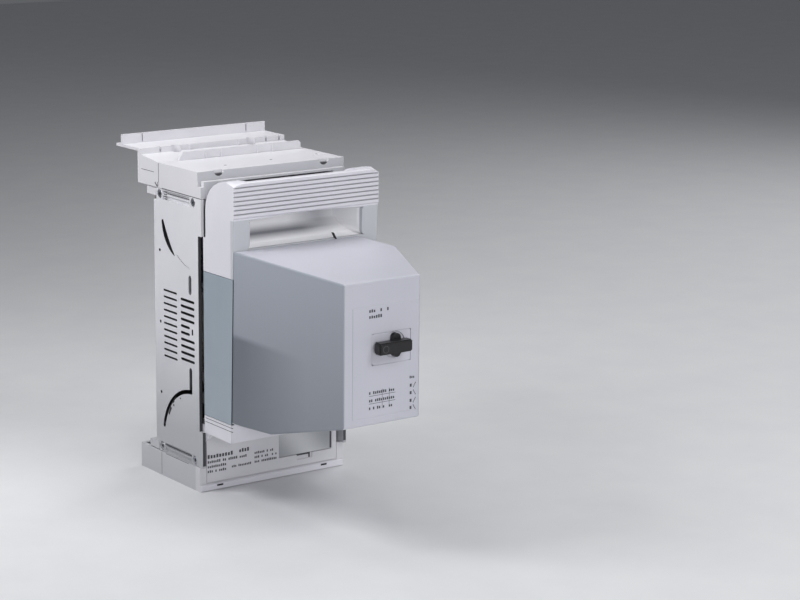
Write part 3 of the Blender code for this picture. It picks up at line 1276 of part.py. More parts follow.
def build():
    clear_scene()
    device = bpy.data.objects.new("device", None)
    bpy.data.collections[PART].objects.link(device)
    device.location = (0.0, -CENTRE_Y, 0.0)
    pivot = bpy.data.objects.new("lid_pivot", None)
    bpy.data.collections[PART].objects.link(pivot)
    pivot.parent = device
    pivot.location = (0.0, PIVOT_Y, PIVOT_Z)
    lid = bpy.data.objects.new("lid", None)
    bpy.data.collections[PART].objects.link(lid)
    lid.parent = pivot
    lid.location = (0.0, -PIVOT_Y, -PIVOT_Z)

    for side, label in ((-1, "left"), (1, "right")):
        side_plate(f"{label}_side_plate", side, device)
        for number, (y, z) in enumerate(screw_places(), start=1):
            side_screw(f"{label}_screw_{number}", side, y, z, device)
        sight_window(f"{label}_sight_window", side, lid)
    chassis_base(device)
    top_terminal_cover(device)
    top_rear_cover(device)
    bottom_terminal_cover(device)
    bottom_rear_cover(device)
    terminal_front_panel(device)
    label_slide(device)

    jaw_rise = BLADE_REACH - JAW_TIP_MARGIN - JAW_HEIGHT / 2
    for number, phase in enumerate((-1, 0, 1), start=1):
        contact_jaw(f"upper_jaw_{number}", phase, MID_Z + jaw_rise, device)
        contact_jaw(f"lower_jaw_{number}", phase, MID_Z - jaw_rise, device)
        terminal_top = MID_Z - jaw_rise - JAW_HEIGHT / 2 - GAP
        outgoing_terminal(f"outgoing_terminal_{number}", phase, terminal_top, device)
        terminal_bolt(f"terminal_bolt_{number}", phase, device)
        busbar_claw(f"busbar_claw_{number}", phase, device)
        fuse_body(f"fuse_body_{number}", phase, lid)
        fuse_blade(f"upper_blade_{number}", phase, 1, lid)
        fuse_blade(f"lower_blade_{number}", phase, -1, lid)

    lid_frame(lid)
    monitor_housing(lid)
    monitor_label(lid)
    mounting_rail(lid)
    monitor_breaker(lid)
    breaker_knob(lid)
    bpy.context.view_layer.update()


build()
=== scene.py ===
# %% [markdown]
# # Dressing a fuse switch disconnector
#
# A fuse switch disconnector is a moulded plastic switch that hangs on three copper busbars. Its lid
# carries three fuse links, and on this one the lid also carries a boxed monitoring breaker with a
# rotary knob. The solids are already made and packed, so this lesson gives them their finish: it
# adds the fine pieces that solids leave out, works out a material for each plastic and metal, and
# lights the device in a plain studio.

import math

import bpy
import numpy as np
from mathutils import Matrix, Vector


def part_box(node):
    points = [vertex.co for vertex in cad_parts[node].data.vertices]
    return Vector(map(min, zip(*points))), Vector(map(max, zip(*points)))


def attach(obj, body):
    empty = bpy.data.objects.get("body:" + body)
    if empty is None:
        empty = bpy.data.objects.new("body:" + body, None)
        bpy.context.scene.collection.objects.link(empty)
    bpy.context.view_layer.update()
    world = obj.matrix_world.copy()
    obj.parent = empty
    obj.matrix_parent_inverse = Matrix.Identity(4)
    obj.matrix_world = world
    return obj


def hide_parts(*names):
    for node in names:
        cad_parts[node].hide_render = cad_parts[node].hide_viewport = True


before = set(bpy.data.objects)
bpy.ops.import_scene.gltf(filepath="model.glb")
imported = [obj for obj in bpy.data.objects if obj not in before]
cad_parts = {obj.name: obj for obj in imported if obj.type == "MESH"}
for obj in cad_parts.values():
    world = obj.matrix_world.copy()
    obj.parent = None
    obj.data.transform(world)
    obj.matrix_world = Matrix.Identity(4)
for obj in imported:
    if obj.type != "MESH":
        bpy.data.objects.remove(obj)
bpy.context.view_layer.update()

# %% [markdown]
# ## A ruler for the device
#
# The solids are in metres, with their origin in the middle of the floor print. A fitter would rather
# read this device from its left side, from the front plane of its chassis and from the floor, in
# millimetres. One small function turns such readings into places, so every later cell can use them.

# %% The ruler
MM = 0.001
LEFT_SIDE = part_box("left_side_plate")[0].x
CHASSIS_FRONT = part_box("terminal_front_panel")[0].y


def at(across, back, up):
    """Places in metres from millimetres: left side + across, chassis front + back, floor + up."""
    across, back, up = np.broadcast_arrays(*(np.asarray(v, float) for v in (across, back, up)))
    return np.stack([LEFT_SIDE + across * MM, CHASSIS_FRONT + back * MM, up * MM], axis=-1)


def reading(node):
    """A solid's two corners as ruler readings: place minus the ruler's zero, in millimetres."""
    zero = np.array([LEFT_SIDE, CHASSIS_FRONT, 0.0])
    return [(np.array(corner) - zero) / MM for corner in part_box(node)]


# %% [markdown]
# ## Colour as the eye reads it
#
# A colour picker gives sRGB values, but the shader adds light in linear values. If a hex colour goes
# in unchanged, greys come out too bright. So one function does the change, and every colour below is
# written as the hex value that a painter would match against the moulding. A second function adds a
# shader node of any kind and links it, and it is all that the materials below need.

# %% Colours and nodes
def linear(colour):
    """sRGB hex to linear: channel / 12.92 up to 0.04045, above it ((c + 0.055) / 1.055) ** 2.4."""
    channels = np.array([int(colour[i : i + 2], 16) for i in (1, 3, 5)]) / 255
    low, high = channels / 12.92, ((channels + 0.055) / 1.055) ** 2.4
    return (*np.where(channels <= 0.04045, low, high).tolist(), 1.0)


def add_node(tree, kind, settings=None, **inputs):
    """Adds one node. settings are its options; each input is a value, or a socket to link from."""
    node = tree.nodes.new(kind)
    for name, value in (settings or {}).items():
        setattr(node, name, value)
    for name, value in inputs.items():
        key = int(name[1:]) if name[0] == "_" and name[1:].isdigit() else name.replace("_", " ")
        if isinstance(value, bpy.types.NodeSocket):
            tree.links.new(value, node.inputs[key])
        else:
            node.inputs[key].default_value = value
    return node


def new_material(name):
    """An empty material with its tree and its Principled shader."""
    made = bpy.data.materials.new(name)
    made.use_nodes = True
    return made, made.node_tree, made.node_tree.nodes["Principled BSDF"]


print("light grey in linear:", [round(v, 3) for v in linear("#D2D4D9")[:3]])

# %% [markdown]
# ## Injection-moulded plastic
#
# The chassis is glass-filled polyamide, pressed into a steel mould whose walls were spark eroded.
# The mould leaves a fine even grain, and the flow of the melt leaves faint clouds of colour. A flat
# grey would look like a computer model, so the material is built from three real things: clouds a
# few centimetres across, a grain of about a quarter of a millimetre, and edges rounded by a few
# tenths, because no mould has a knife edge. The real grain is finer than a pixel here, so it is
# drawn at 0.35 mm, coarse enough to catch the light.

# %% The moulded finish
CLOUD_SIZE, CLOUD_LIMITS = 38.0, (0.3, 0.7)
GRAIN_SIZE, GRAIN_LIMITS = 0.35, (0.25, 0.75)
GLOSS_SPREAD = 0.06
PLASTIC_IOR = 1.53
BEVEL_SAMPLES = {"samples": 4}
COLOUR_MIX = {"data_type": "RGBA"}


def cycles_per_metre(size_mm):
    """Noise scale for a feature of that size: one over the size in metres."""
    return 1.0 / (size_mm * MM)


def moulded(name, colour, shade, roughness, grain=0.05, edge=0.25):
    """Moulded plastic: cloud noise mixes colour and shade, fine noise gives roughness and bump."""
    made, tree, shader = new_material(name)
    place = add_node(tree, "ShaderNodeTexCoord").outputs["Object"]
    cloud_scale, grain_scale = cycles_per_metre(CLOUD_SIZE), cycles_per_metre(GRAIN_SIZE)
    cloud = add_node(tree, "ShaderNodeTexNoise", Vector=place, Scale=cloud_scale, Detail=4.0, Roughness=0.55)
    fine = add_node(tree, "ShaderNodeTexNoise", Vector=place, Scale=grain_scale, Detail=2.0, Roughness=0.6)
    spread = add_node(
        tree, "ShaderNodeMapRange", _0=cloud.outputs["Fac"], _1=CLOUD_LIMITS[0], _2=CLOUD_LIMITS[1]
    )
    tint = add_node(
        tree, "ShaderNodeMix", COLOUR_MIX, _0=spread.outputs["Result"], _6=linear(colour), _7=linear(shade)
    )
    gloss = add_node(
        tree,
        "ShaderNodeMapRange",
        _0=fine.outputs["Fac"],
        _1=GRAIN_LIMITS[0],
        _2=GRAIN_LIMITS[1],
        _3=roughness - GLOSS_SPREAD,
        _4=roughness + GLOSS_SPREAD,
    )
    rounded = add_node(tree, "ShaderNodeBevel", BEVEL_SAMPLES, Radius=edge * MM)
    bump = add_node(
        tree,
        "ShaderNodeBump",
        Strength=grain,
        Distance=GRAIN_SIZE * MM,
        Height=fine.outputs["Fac"],
        Normal=rounded.outputs["Normal"],
    )
    tree.links.new(tint.outputs[2], shader.inputs["Base Color"])
    tree.links.new(gloss.outputs["Result"], shader.inputs["Roughness"])
    tree.links.new(bump.outputs["Normal"], shader.inputs["Normal"])
    shader.inputs["IOR"].default_value = PLASTIC_IOR
    return made


CHASSIS = moulded("moulded glass-filled polyamide", "#D0CFD4", "#CAC9CF", 0.46, grain=0.10)
PLATE = moulded("moulded polyamide plate", "#D3D3D8", "#CDCDD3", 0.44, grain=0.10)
LID = moulded("moulded polycarbonate", "#D7D6DD", "#D2D1D9", 0.38, grain=0.05, edge=0.35)
KNOB = moulded("black moulded polyamide", "#1A1A1C", "#151517", 0.36, grain=0.12, edge=0.3)
LABEL = moulded("matt label film", "#A2A5A9", "#9A9DA2", 0.40, grain=0.03, edge=0.1)
# black for dark fibre pieces, and for pieces that stand for shade as painted shade
FIBRE_AND_SHADE = moulded("black fibre and painted shade", "#161618", "#101012", 0.55, grain=0.08, edge=0.05)
print("clouds and grain in mm:", CLOUD_SIZE, GRAIN_SIZE)

# %% [markdown]
# ## Painted light and shade on the mouldings
#
# The colour here carries painted light and shade. The grip recess is painted whiter as painted
# light, with a painted reflection as a darker band across it and painted shade at its right; the
# posts beside it are painted greyer as shade, and the side plates and the chassis are painted darker
# towards the floor. The arms that dip inside the chassis are painted dark as the shade inside it.
# Each change is a soft-edged box in space: two ramps for each axis, one up and one down, multiplied.

# %% Soft zones in a material
FAR = 1.0e5
OPEN_FROM = 1.0


def zone(tree, low, high, soft, share=None):
    """Share inside a box of readings: a rising times a falling ramp, soft mm wide, for each axis."""
    place = add_node(tree, "ShaderNodeTexCoord").outputs["Object"]
    axes = add_node(tree, "ShaderNodeSeparateXYZ", Vector=place)
    for axis, first, last, width in zip("XYZ", at(*low), at(*high), np.broadcast_to(soft, 3)):
        for edge, step in ((first, width * MM), (last, -width * MM)):
            if abs(edge) > OPEN_FROM:
                continue
            ramp = add_node(tree, "ShaderNodeMapRange", _0=axes.outputs[axis], _1=edge, _2=edge + step)
            ramp = ramp.outputs["Result"]
            if share is not None:
                ramp = add_node(tree, "ShaderNodeMath", {"operation": "MULTIPLY"}, _0=share, _1=ramp)
                ramp = ramp.outputs[0]
            share = ramp
    return share


def tone(finish, share, colour):
    """Mixes a finish's colour towards another, a hex value or a socket, where the share is 1."""
    tree = finish.node_tree
    socket = tree.nodes["Principled BSDF"].inputs["Base Color"]
    before = socket.links[0].from_socket
    goal = linear(colour) if isinstance(colour, str) else colour
    mixed = add_node(tree, "ShaderNodeMix", COLOUR_MIX, _0=share, _6=before, _7=goal)
    tree.links.new(mixed.outputs[2], socket)


def tone_boxes(finish, colour, *boxes):
    """Mixes towards a colour where boxes (low, high, soft) overlap: their shares multiplied."""
    share = None
    for low, high, soft in boxes:
        share = zone(finish.node_tree, low, high, soft, share)
    tone(finish, share, colour)


POSTS_PAINTED_SHADE = ((-FAR, -FAR, 54), (FAR, -34, 173.6), 0.4)
RECESS_PAINTED_LIGHT = ((9, -35.6, 150), (97, -8, 188), 0.6)
RECESS_RIGHT_PAINTED_SHADE = ((52, -34, 160), (97, -8, 178), (24.0, 1.0, 4.0))
RECESS_PAINTED_REFLECTION = ((-40, -35, 157.3), (96, -8, 164.7), (36.0, 1.0, 3.4))
RECESS_REFLECTION_LIMITS = ((8.5, -35, 150), (97.5, -8, 188), 0.5)
ARMS_PAINTED_SHADE = ((-FAR, 3.0, -FAR), (FAR, FAR, 120), 1.0)
PLATE_PAINTED_SHADE_LOW = ((-FAR, -FAR, -FAR), (FAR, FAR, 95), 60.0)
CHASSIS_PAINTED_SHADE_LOW = ((-FAR, 4.0, -FAR), (FAR, FAR, 60), 2.0)
# painted shade: the lid's posts below the handle are painted greyer
tone_boxes(LID, "#BABCC2", POSTS_PAINTED_SHADE)
# painted light: the grip recess is painted near white
tone_boxes(LID, "#FCFCFE", RECESS_PAINTED_LIGHT)
# painted shade: the right part of the recess is painted darker
tone_boxes(LID, "#B4B5BB", RECESS_RIGHT_PAINTED_SHADE)
# painted reflection: a soft dark band across the recess, kept inside the recess
tone_boxes(LID, "#85868C", RECESS_PAINTED_REFLECTION, RECESS_REFLECTION_LIMITS)
# painted shade: the lid's arms inside the chassis are painted near black
tone_boxes(LID, "#2C2D30", ARMS_PAINTED_SHADE)
# painted shade: the side plates are painted darker towards the floor
tone_boxes(PLATE, "#ACADB2", PLATE_PAINTED_SHADE_LOW)
# painted shade: the chassis behind its front is painted darker below 60 mm
tone_boxes(CHASSIS, "#B9BABF", CHASSIS_PAINTED_SHADE_LOW)
print("zones done for:", LID.name, PLATE.name, CHASSIS.name)

# %% [markdown]
# The front edge of each side plate is painted dark as painted shade, where the lid closes against
# it. It is only a tone on the edge, so the material looks at the way the face points: straight to
# the front. The covers' front faces are painted a shade greyer by the same rule, as painted shade,
# and the two moon-shaped recesses above them get painted shade inside from small zones.

# %% Painted shade on the plates' front edge
EDGE_SHADE_FROM, EDGE_SHADE_TOP = 17.0, 158.7
COVER_SHADE_FROM = 182.0
FRONT_DEPTH = 2.0
NARROW = 0.3
TO_FRONT = (-0.85, -0.97)
MOONS, MOON_HALF = (15.0, 91.0), 4


def facing(tree, axis, first, last, both_ways=False):
    """Share by the way a face looks: its normal's part along an axis, 0 at first and 1 at last."""
    normal = add_node(tree, "ShaderNodeNewGeometry").outputs["True Normal"]
    part = add_node(tree, "ShaderNodeSeparateXYZ", Vector=normal).outputs[axis]
    if both_ways:
        part = add_node(tree, "ShaderNodeMath", {"operation": "ABSOLUTE"}, _0=part).outputs[0]
    return add_node(tree, "ShaderNodeMapRange", _0=part, _1=first, _2=last).outputs["Result"]


def front_edge(finish, colour, above, below=FAR):
    """Colours faces that look to the front, between two heights and up to FRONT_DEPTH."""
    tree = finish.node_tree
    ahead = facing(tree, "Y", *TO_FRONT)
    tone(finish, zone(tree, (-FAR, -FAR, above), (FAR, FRONT_DEPTH, below), NARROW, ahead), colour)


# painted shade: the plates' front edges are painted dark
front_edge(PLATE, "#3B3C40", EDGE_SHADE_FROM, EDGE_SHADE_TOP)
# painted shade: the covers' front faces are painted a shade greyer
front_edge(CHASSIS, "#B0B1B6", COVER_SHADE_FROM)
# painted shade inside the two moon-shaped recesses
for middle in MOONS:
    moon_low, moon_high = (middle - MOON_HALF, 0.1, 193), (middle + MOON_HALF, 2.3, 195.9)
    tone_boxes(CHASSIS, "#4A4B4F", (moon_low, moon_high, (0.1, 0.05, 0.9)))
print("painted edge shade up to", EDGE_SHADE_TOP, "mm, moon recesses at", MOONS)

# %% [markdown]
# A slot through a plate is seen at a slant, so its inner wall is what shows, and it lies in deep
# shade, which is painted on as a dark colour. The same look at the normal finds those walls: they
# don't face sideways, and they lie well inside the plate's outline. The two upright guide slots are
# painted lighter, as painted light off the lid's grey arm that stands close behind them, and the
# sheets behind them take the same greys. The same rule paints shade on the bottom of the grooves
# between the handle's ribs.

# %% Shaded walls of the slots
NOT_SIDEWAYS = (0.6, 0.4)
PLATE_SLOTS = ((-FAR, 3.0, 27.0), (FAR, 47.0, 171.0))
RIB_GROOVES = ((-FAR, -38.0, 174.8), (FAR, -36.4, 193.4))
GUIDE_SLOTS = [
    ((-FAR, 5.0, 118.0), (FAR, 14.0, 141.0), "#808186"),
    ((-FAR, 5.0, 52.0), (FAR, 14.0, 80.0), "#57585C"),
]


def slot_walls(finish, colour, low, high):
    """Colours faces inside a box of readings whose normal doesn't point sideways."""
    tree = finish.node_tree
    turned = facing(tree, "X", *NOT_SIDEWAYS, both_ways=True)
    tone(finish, zone(tree, low, high, NARROW, turned), colour)


# painted shade: the walls of the slots through the plates are painted near black
slot_walls(PLATE, "#1D1D20", *PLATE_SLOTS)
# painted shade at the bottom of the grooves between the handle's ribs
slot_walls(LID, "#9B9CA1", *RIB_GROOVES)
# painted light and shade: the guide slots' walls, and the dark sheets behind them, are painted these greys
for low, high, grey in GUIDE_SLOTS:
    slot_walls(PLATE, grey, low, high)
    tone_boxes(FIBRE_AND_SHADE, grey, (low, high, 0.5))
print("guide slots on each side:", len(GUIDE_SLOTS))

# %% [markdown]
# The film that slides into the terminal panel is satin, and the studio's reflection on it is painted
# as one soft light band across it. A slow wave along a slanted line gives that painted reflection a
# fixed place on the film.

# %% The band on the label film
BAND_PITCH, BAND_START, BAND_SLANT = 44.0, 80.0, 0.8


def painted_reflection_band(finish, colour):
    """Mixes towards a colour by 0.5 + 0.5 sin(2 pi (x + slant z - start) / pitch), in millimetres."""
    tree = finish.node_tree
    place = add_node(tree, "ShaderNodeTexCoord").outputs["Object"]
    turns = 2 * math.pi * cycles_per_metre(BAND_PITCH)
    line = (turns, 0.0, BAND_SLANT * turns)
    along = add_node(tree, "ShaderNodeVectorMath", {"operation": "DOT_PRODUCT"}, _0=place, _1=line)
    begin = turns * (LEFT_SIDE + BAND_START * MM)
    shifted = add_node(
        tree, "ShaderNodeMath", {"operation": "SUBTRACT"}, _0=along.outputs["Value"], _1=begin
    )
    wave = add_node(tree, "ShaderNodeMath", {"operation": "SINE"}, _0=shifted.outputs[0])
    share = add_node(tree, "ShaderNodeMapRange", _0=wave.outputs[0], _1=-1.0, _2=1.0)
    tone(finish, share.outputs["Result"], colour)


# painted reflection: a soft light band across the label film
painted_reflection_band(LABEL, "#C9CBCE")
print("one band every", BAND_PITCH, "mm")

# %% [markdown]
# ## The housing's two greys
#
# The monitoring housing is folded from a satin plastic sheet. Its front and top are light grey, and
# its two flanks are a blue grey like the smoked windows beside them. It is one closed solid, so the
# material decides by the way a face looks: a face whose normal points sideways gets the flank's
# grey. The normal is turned into a share between 0 and 1 with a steep ramp at about 20 degrees. The
# flank's grey is painted darker towards the bottom, as painted shade. Two zones then paint a darker
# reflection on the lower part of the flanks and lighten the rim at the bottom.

# %% The housing's finish
FLANK_LIMITS = (0.25, 0.40)
# blue grey of the flanks; the lower grey is darker as painted shade towards the bottom
FLANK_LOW, FLANK_HIGH = (50.0, "#7D828B"), (150.0, "#989DA7")
FLANK_PAINTED_REFLECTION = ((-FAR, -112, -FAR), (FAR, FAR, 106.8), (1.0, 66.0, 3.5))
RIM = ((-FAR, -FAR, -FAR), (FAR, FAR, 51.5), 0.2)


def flank_grey(tree):
    """The flank's blue grey, painted darker lower down as shade: two greys mixed by height, 0 at the lower
    reading and 1 at the upper.
    """
    place = add_node(tree, "ShaderNodeTexCoord").outputs["Object"]
    height = add_node(tree, "ShaderNodeSeparateXYZ", Vector=place).outputs["Z"]
    rise = add_node(tree, "ShaderNodeMapRange", _0=height, _1=FLANK_LOW[0] * MM, _2=FLANK_HIGH[0] * MM)
    greys = {"_6": linear(FLANK_LOW[1]), "_7": linear(FLANK_HIGH[1])}
    return add_node(tree, "ShaderNodeMix", COLOUR_MIX, _0=rise.outputs["Result"], **greys).outputs[2]


HOUSING = moulded("satin polystyrene sheet", "#BBBBC5", "#B6B7C1", 0.42, grain=0.03, edge=0.3)
sideways = facing(HOUSING.node_tree, "X", *FLANK_LIMITS, both_ways=True)
tone(HOUSING, sideways, flank_grey(HOUSING.node_tree))
# painted reflection: a darker soft zone on the lower part of the flanks
tone_boxes(HOUSING, "#676C75", FLANK_PAINTED_REFLECTION)
tone_boxes(HOUSING, "#D9DADE", RIM)
print("flank greys at", FLANK_LOW[0], "and", FLANK_HIGH[0], "mm")

# %% [markdown]
# ## Smoked window
#
# The lid's cheeks are windows of smoke-tinted polycarbonate, polished, so that a fitter can see the
# fuse links. In good light and from outside, one sees hardly anything through them: they look like a
# cool grey with a clear gloss. So the material is its own tint with faint streaks and a smooth
# surface. The window's front edge is painted darker, as painted shade.

# %% The smoked window
STREAK_SIZE = 25.0
WINDOW_IOR = 1.58


def smoked_window():
    """Tinted polycarbonate: streak noise mixes two cool greys and moves a low roughness."""
    made, tree, shader = new_material("smoke-tinted polycarbonate")
    place = add_node(tree, "ShaderNodeTexCoord").outputs["Object"]
    scale = cycles_per_metre(STREAK_SIZE)
    streak = add_node(tree, "ShaderNodeTexNoise", Vector=place, Scale=scale, Detail=2.0).outputs["Fac"]
    gloss = add_node(tree, "ShaderNodeMapRange", _0=streak, _3=0.20, _4=0.30)
    greys = {"_6": linear("#8E99A3"), "_7": linear("#96A1AA")}
    tint = add_node(tree, "ShaderNodeMix", COLOUR_MIX, _0=streak, **greys)
    rounded = add_node(tree, "ShaderNodeBevel", BEVEL_SAMPLES, Radius=0.25 * MM)
    tree.links.new(tint.outputs[2], shader.inputs["Base Color"])
    tree.links.new(gloss.outputs["Result"], shader.inputs["Roughness"])
    tree.links.new(rounded.outputs["Normal"], shader.inputs["Normal"])
    shader.inputs["IOR"].default_value = WINDOW_IOR
    return made


WINDOW = smoked_window()
WINDOW_SHADE_FROM, WINDOW_SHADE_TO = 40.0, 160.0
# painted shade: the window's front-facing faces are painted darker
front_edge(WINDOW, "#4A5058", WINDOW_SHADE_FROM, WINDOW_SHADE_TO)
print("window:", WINDOW.name)

# %% [markdown]
# ## Metals, ceramic and ink
#
# Screws and rail are zinc-plated steel, and jaws, blades and hooks are silver-plated copper. Rolled
# metal has fine marks along its length and dull patches where hands and air have touched it. The
# fuse links' bodies are ceramic with a soft shine, and printing ink is simply dark and matt.

# %% Metals, ceramic and ink
ROLL_SIZE, ROLL_STRETCH = 0.6, 0.06
PATCH_SIZE = 9.0


def plated(name, colour, dull, roughness):
    """Plated metal: noise stretched along Z as rolling marks, and dull patches of tarnish."""
    made, tree, shader = new_material(name)
    place = add_node(tree, "ShaderNodeTexCoord").outputs["Object"]
    drawn = add_node(tree, "ShaderNodeMapping", Vector=place, Scale=(1.0, 1.0, ROLL_STRETCH))
    roll_scale, patch_scale = cycles_per_metre(ROLL_SIZE), cycles_per_metre(PATCH_SIZE)
    drawn = drawn.outputs["Vector"]
    rolled = add_node(tree, "ShaderNodeTexNoise", Vector=drawn, Scale=roll_scale, Detail=3.0).outputs["Fac"]
    patch = add_node(tree, "ShaderNodeTexNoise", Vector=place, Scale=patch_scale, Detail=4.0).outputs["Fac"]
    tint = add_node(tree, "ShaderNodeMix", COLOUR_MIX, _0=patch, _6=linear(colour), _7=linear(dull))
    gloss = add_node(tree, "ShaderNodeMapRange", _0=rolled, _3=roughness - 0.08, _4=roughness + 0.12)
    bump = add_node(tree, "ShaderNodeBump", Strength=0.08, Distance=0.1 * MM, Height=rolled)
    tree.links.new(tint.outputs[2], shader.inputs["Base Color"])
    tree.links.new(gloss.outputs["Result"], shader.inputs["Roughness"])
    tree.links.new(bump.outputs["Normal"], shader.inputs["Normal"])
    shader.inputs["Metallic"].default_value = 1.0
    return made


STEEL = plated("zinc-plated steel", "#B9BCC2", "#A7A9AD", 0.34)
COPPER = plated("silver-plated copper", "#DAD7CF", "#C2BBAE", 0.30)
CERAMIC = moulded("steatite ceramic", "#E4E1D6", "#DAD6C9", 0.32, grain=0.04, edge=0.4)
INK, _, ink_shader = new_material("black printing ink")
ink_shader.inputs["Base Color"].default_value = linear("#3A3C41")
ink_shader.inputs["Roughness"].default_value = 0.55
print("metals:", STEEL.name, "and", COPPER.name)

# %% [markdown]
# ## A finish for every solid
#
# Each solid keeps its own shape, and only its material changes. The names say what a solid is, so a
# short list of word and finish pairs covers all of them.

# %% Put the finishes on
FINISHES = [
    ("screw", STEEL),
    ("bolt", STEEL),
    ("rail", STEEL),
    ("jaw", COPPER),
    ("outgoing", COPPER),
    ("claw", COPPER),
    ("blade", COPPER),
    ("fuse_body", CERAMIC),
    ("knob", KNOB),
    ("window", WINDOW),
    ("label_slide", LABEL),
    ("side_plate", PLATE),
    ("monitor", HOUSING),
    ("lid", LID),
]


def finish_for(name):
    """The first finish whose word is in the solid's name, or the chassis plastic."""
    return next((finish for word, finish in FINISHES if word in name), CHASSIS)


for name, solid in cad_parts.items():
    for index in range(max(len(solid.material_slots), 1)):
        if not solid.material_slots:
            solid.data.materials.append(None)
        solid.material_slots[index].material = finish_for(name)
print("finished solids:", len(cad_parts))

# %% [markdown]
# ## Surfaces from numbers
#
# The fine pieces are worked out with numpy. A piece is a grid of points: one direction runs round a
# section, the other runs along a path. The whole grid is computed as arrays and goes into the mesh in
# one call, which is far quicker than adding points one by one. A grid that doesn't close on itself
# gets a cap at each end. A mesh also needs its faces to look outward, and the sign of its volume
# tells whether they do.

# %% Helpers for grids and blocks
CORNER_BITS = np.array([[(n >> axis) & 1 for axis in range(3)] for n in range(8)])
BLOCK_SIDES = np.array([[0, 2, 3, 1], [4, 5, 7, 6], [0, 1, 5, 4], [2, 6, 7, 3], [0, 4, 6, 2], [1, 3, 7, 5]])


def faces_outward(points, faces):
    """True when the volume a . (b x c + c x d), summed over faces a b c d, is positive."""
    a, b, c, d = (points[faces] - points.mean(axis=0)).transpose(1, 0, 2)
    return np.sum(a * (np.cross(b, c) + np.cross(c, d))) > 0


def mesh_object(name, points, faces, finish, body, smooth=True, caps=()):
    """A mesh from points, four-cornered faces and many-cornered caps, riding on a body."""
    points = points.reshape(-1, 3)
    corners = faces.tolist() + [list(cap) for cap in caps]
    if not faces_outward(points, faces):
        corners = [face[::-1] for face in corners]
    mesh = bpy.data.meshes.new(name)
    mesh.from_pydata(points.tolist(), [], corners)
    mesh.polygons.foreach_set("use_smooth", np.full(len(mesh.polygons), smooth))
    mesh.materials.append(finish)
    mesh.validate()
    thing = bpy.data.objects.new(name, mesh)
    bpy.context.scene.collection.objects.link(thing)
    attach(thing, body)
    return thing


def ring_faces(rows, columns):
    """Faces of a grid that closes on itself both ways: each point with its next along and round."""
    row, column = np.meshgrid(np.arange(rows), np.arange(columns), indexing="ij")
    here, along = row * columns, (row + 1) % rows * columns
    beside = (column + 1) % columns
    corners = [here + column, along + column, along + beside, here + beside]
    return np.stack([c.ravel() for c in corners], axis=1)


def capped_faces(rows, columns):
    """Faces of a grid that closes round its columns only, and the two caps that close its ends."""
    last = (rows - 1) * columns
    caps = np.stack([np.arange(columns), last + np.arange(columns)[::-1]])
    return ring_faces(rows, columns)[:last], caps


def block_faces(count):
    """The six faces of each of so many blocks: block n's corners are numbered from 8 n."""
    return ((np.arange(count) * 8)[:, None, None] + BLOCK_SIDES[None]).reshape(-1, 4)


def blocks(low, high):
    """Closed blocks: each corner takes low or high in x, y and z by the three bits of its number."""
    low, high = np.atleast_2d(low), np.atleast_2d(high)
    points = low[:, None, :] + CORNER_BITS[None] * (high - low)[:, None, :]
    return points, block_faces(len(low))


print("faces of one block:", len(block_faces(1)))

# %% [markdown]
# ## Print on the front
#
# The labels carry rows of small print, a table of settings and a wiring diagram. At this distance
# print reads as rows of dark dashes of uneven length. Each row here is a run of letter-sized blocks
# grouped in words, with lengths drawn from a seeded generator, so the pattern is plain, says
# nothing, and comes out the same each time. The ink is raised by two hundredths of a millimetre. A
# film 0.1 mm thick will cover the housing's front, and the print lies on that film.

# %% Rows of print
INK_RAISE = 0.02
LETTER_WIDE, LETTER_PITCH, SHORTEST = 0.55, 0.8, 0.72
RULE_WIDE = 0.25
FILM_PROUD = 0.10
LABEL_FACE = reading("monitor_label")[0][1] - FILM_PROUD
PANEL_FACE = reading("terminal_front_panel")[0][1]
print_choice = np.random.default_rng(60)


def word_row(start, end, up, height, density=0.78):
    """Blocks of one row: letters 0.55 heights wide, 0.8 heights apart, of which density are kept."""
    pitch = LETTER_PITCH * height
    starts = np.arange(start, end - pitch, pitch)
    kept = print_choice.random(len(starts)) < density
    kept[:1] = True
    starts = starts[kept]
    tall = height * (SHORTEST + (1 - SHORTEST) * print_choice.random(len(starts)))
    low = np.stack([starts, np.zeros_like(starts), np.full_like(starts, up)], axis=1)
    high = np.stack([starts + LETTER_WIDE * height, np.zeros_like(starts), up + tall], axis=1)
    return low, high


def rule(start, end, low, high):
    """One straight printed line as a block."""
    return np.array([[start, 0.0, low]]), np.array([[end, 0.0, high]])


def stood_out(rows, front, back):
    """Joins rows of blocks in one and gives all of them the same front and back."""
    low = np.concatenate([row[0] for row in rows])
    high = np.concatenate([row[1] for row in rows])
    low[:, 1], high[:, 1] = front, back
    return blocks(at(*low.T), at(*high.T))


def printed(name, rows, face, body):
    """One print of many blocks, which stands INK_RAISE proud of the face at that depth."""
    points, faces = stood_out(rows, face - INK_RAISE, face + INK_RAISE)
    return mesh_object(name, points, faces, INK, body, smooth=False)


voltage_rows = [word_row(19.0, 34.0, 137.6, 1.9), word_row(19.0, 29.0, 134.2, 1.9)]
printed("print_voltage", voltage_rows, LABEL_FACE, "lid")
TABLE_LEFT, TABLE_RIGHT = 19.3, 37.4
table_rows = [word_row(TABLE_LEFT, TABLE_RIGHT, up, 1.7, 0.62) for up in (91.0, 86.6, 82.2)]
table_rows += [rule(TABLE_LEFT, TABLE_RIGHT, up, up + RULE_WIDE) for up in (89.9, 85.5)]
table_rows += [rule(across, across + RULE_WIDE, 82.0, 93.2) for across in (28.2, 33.0)]
printed("print_table", table_rows, LABEL_FACE, "lid")
print("rows on the housing:", len(voltage_rows) + len(table_rows))

# %% [markdown]
# The terminal panel has a heading in larger print, three rows below it and a second block of four
# rows beside it. They are cut from the same two functions. Each row is one line of a small list:
# where it starts and ends, how high it sits, how tall its letters are, and how dense it is.

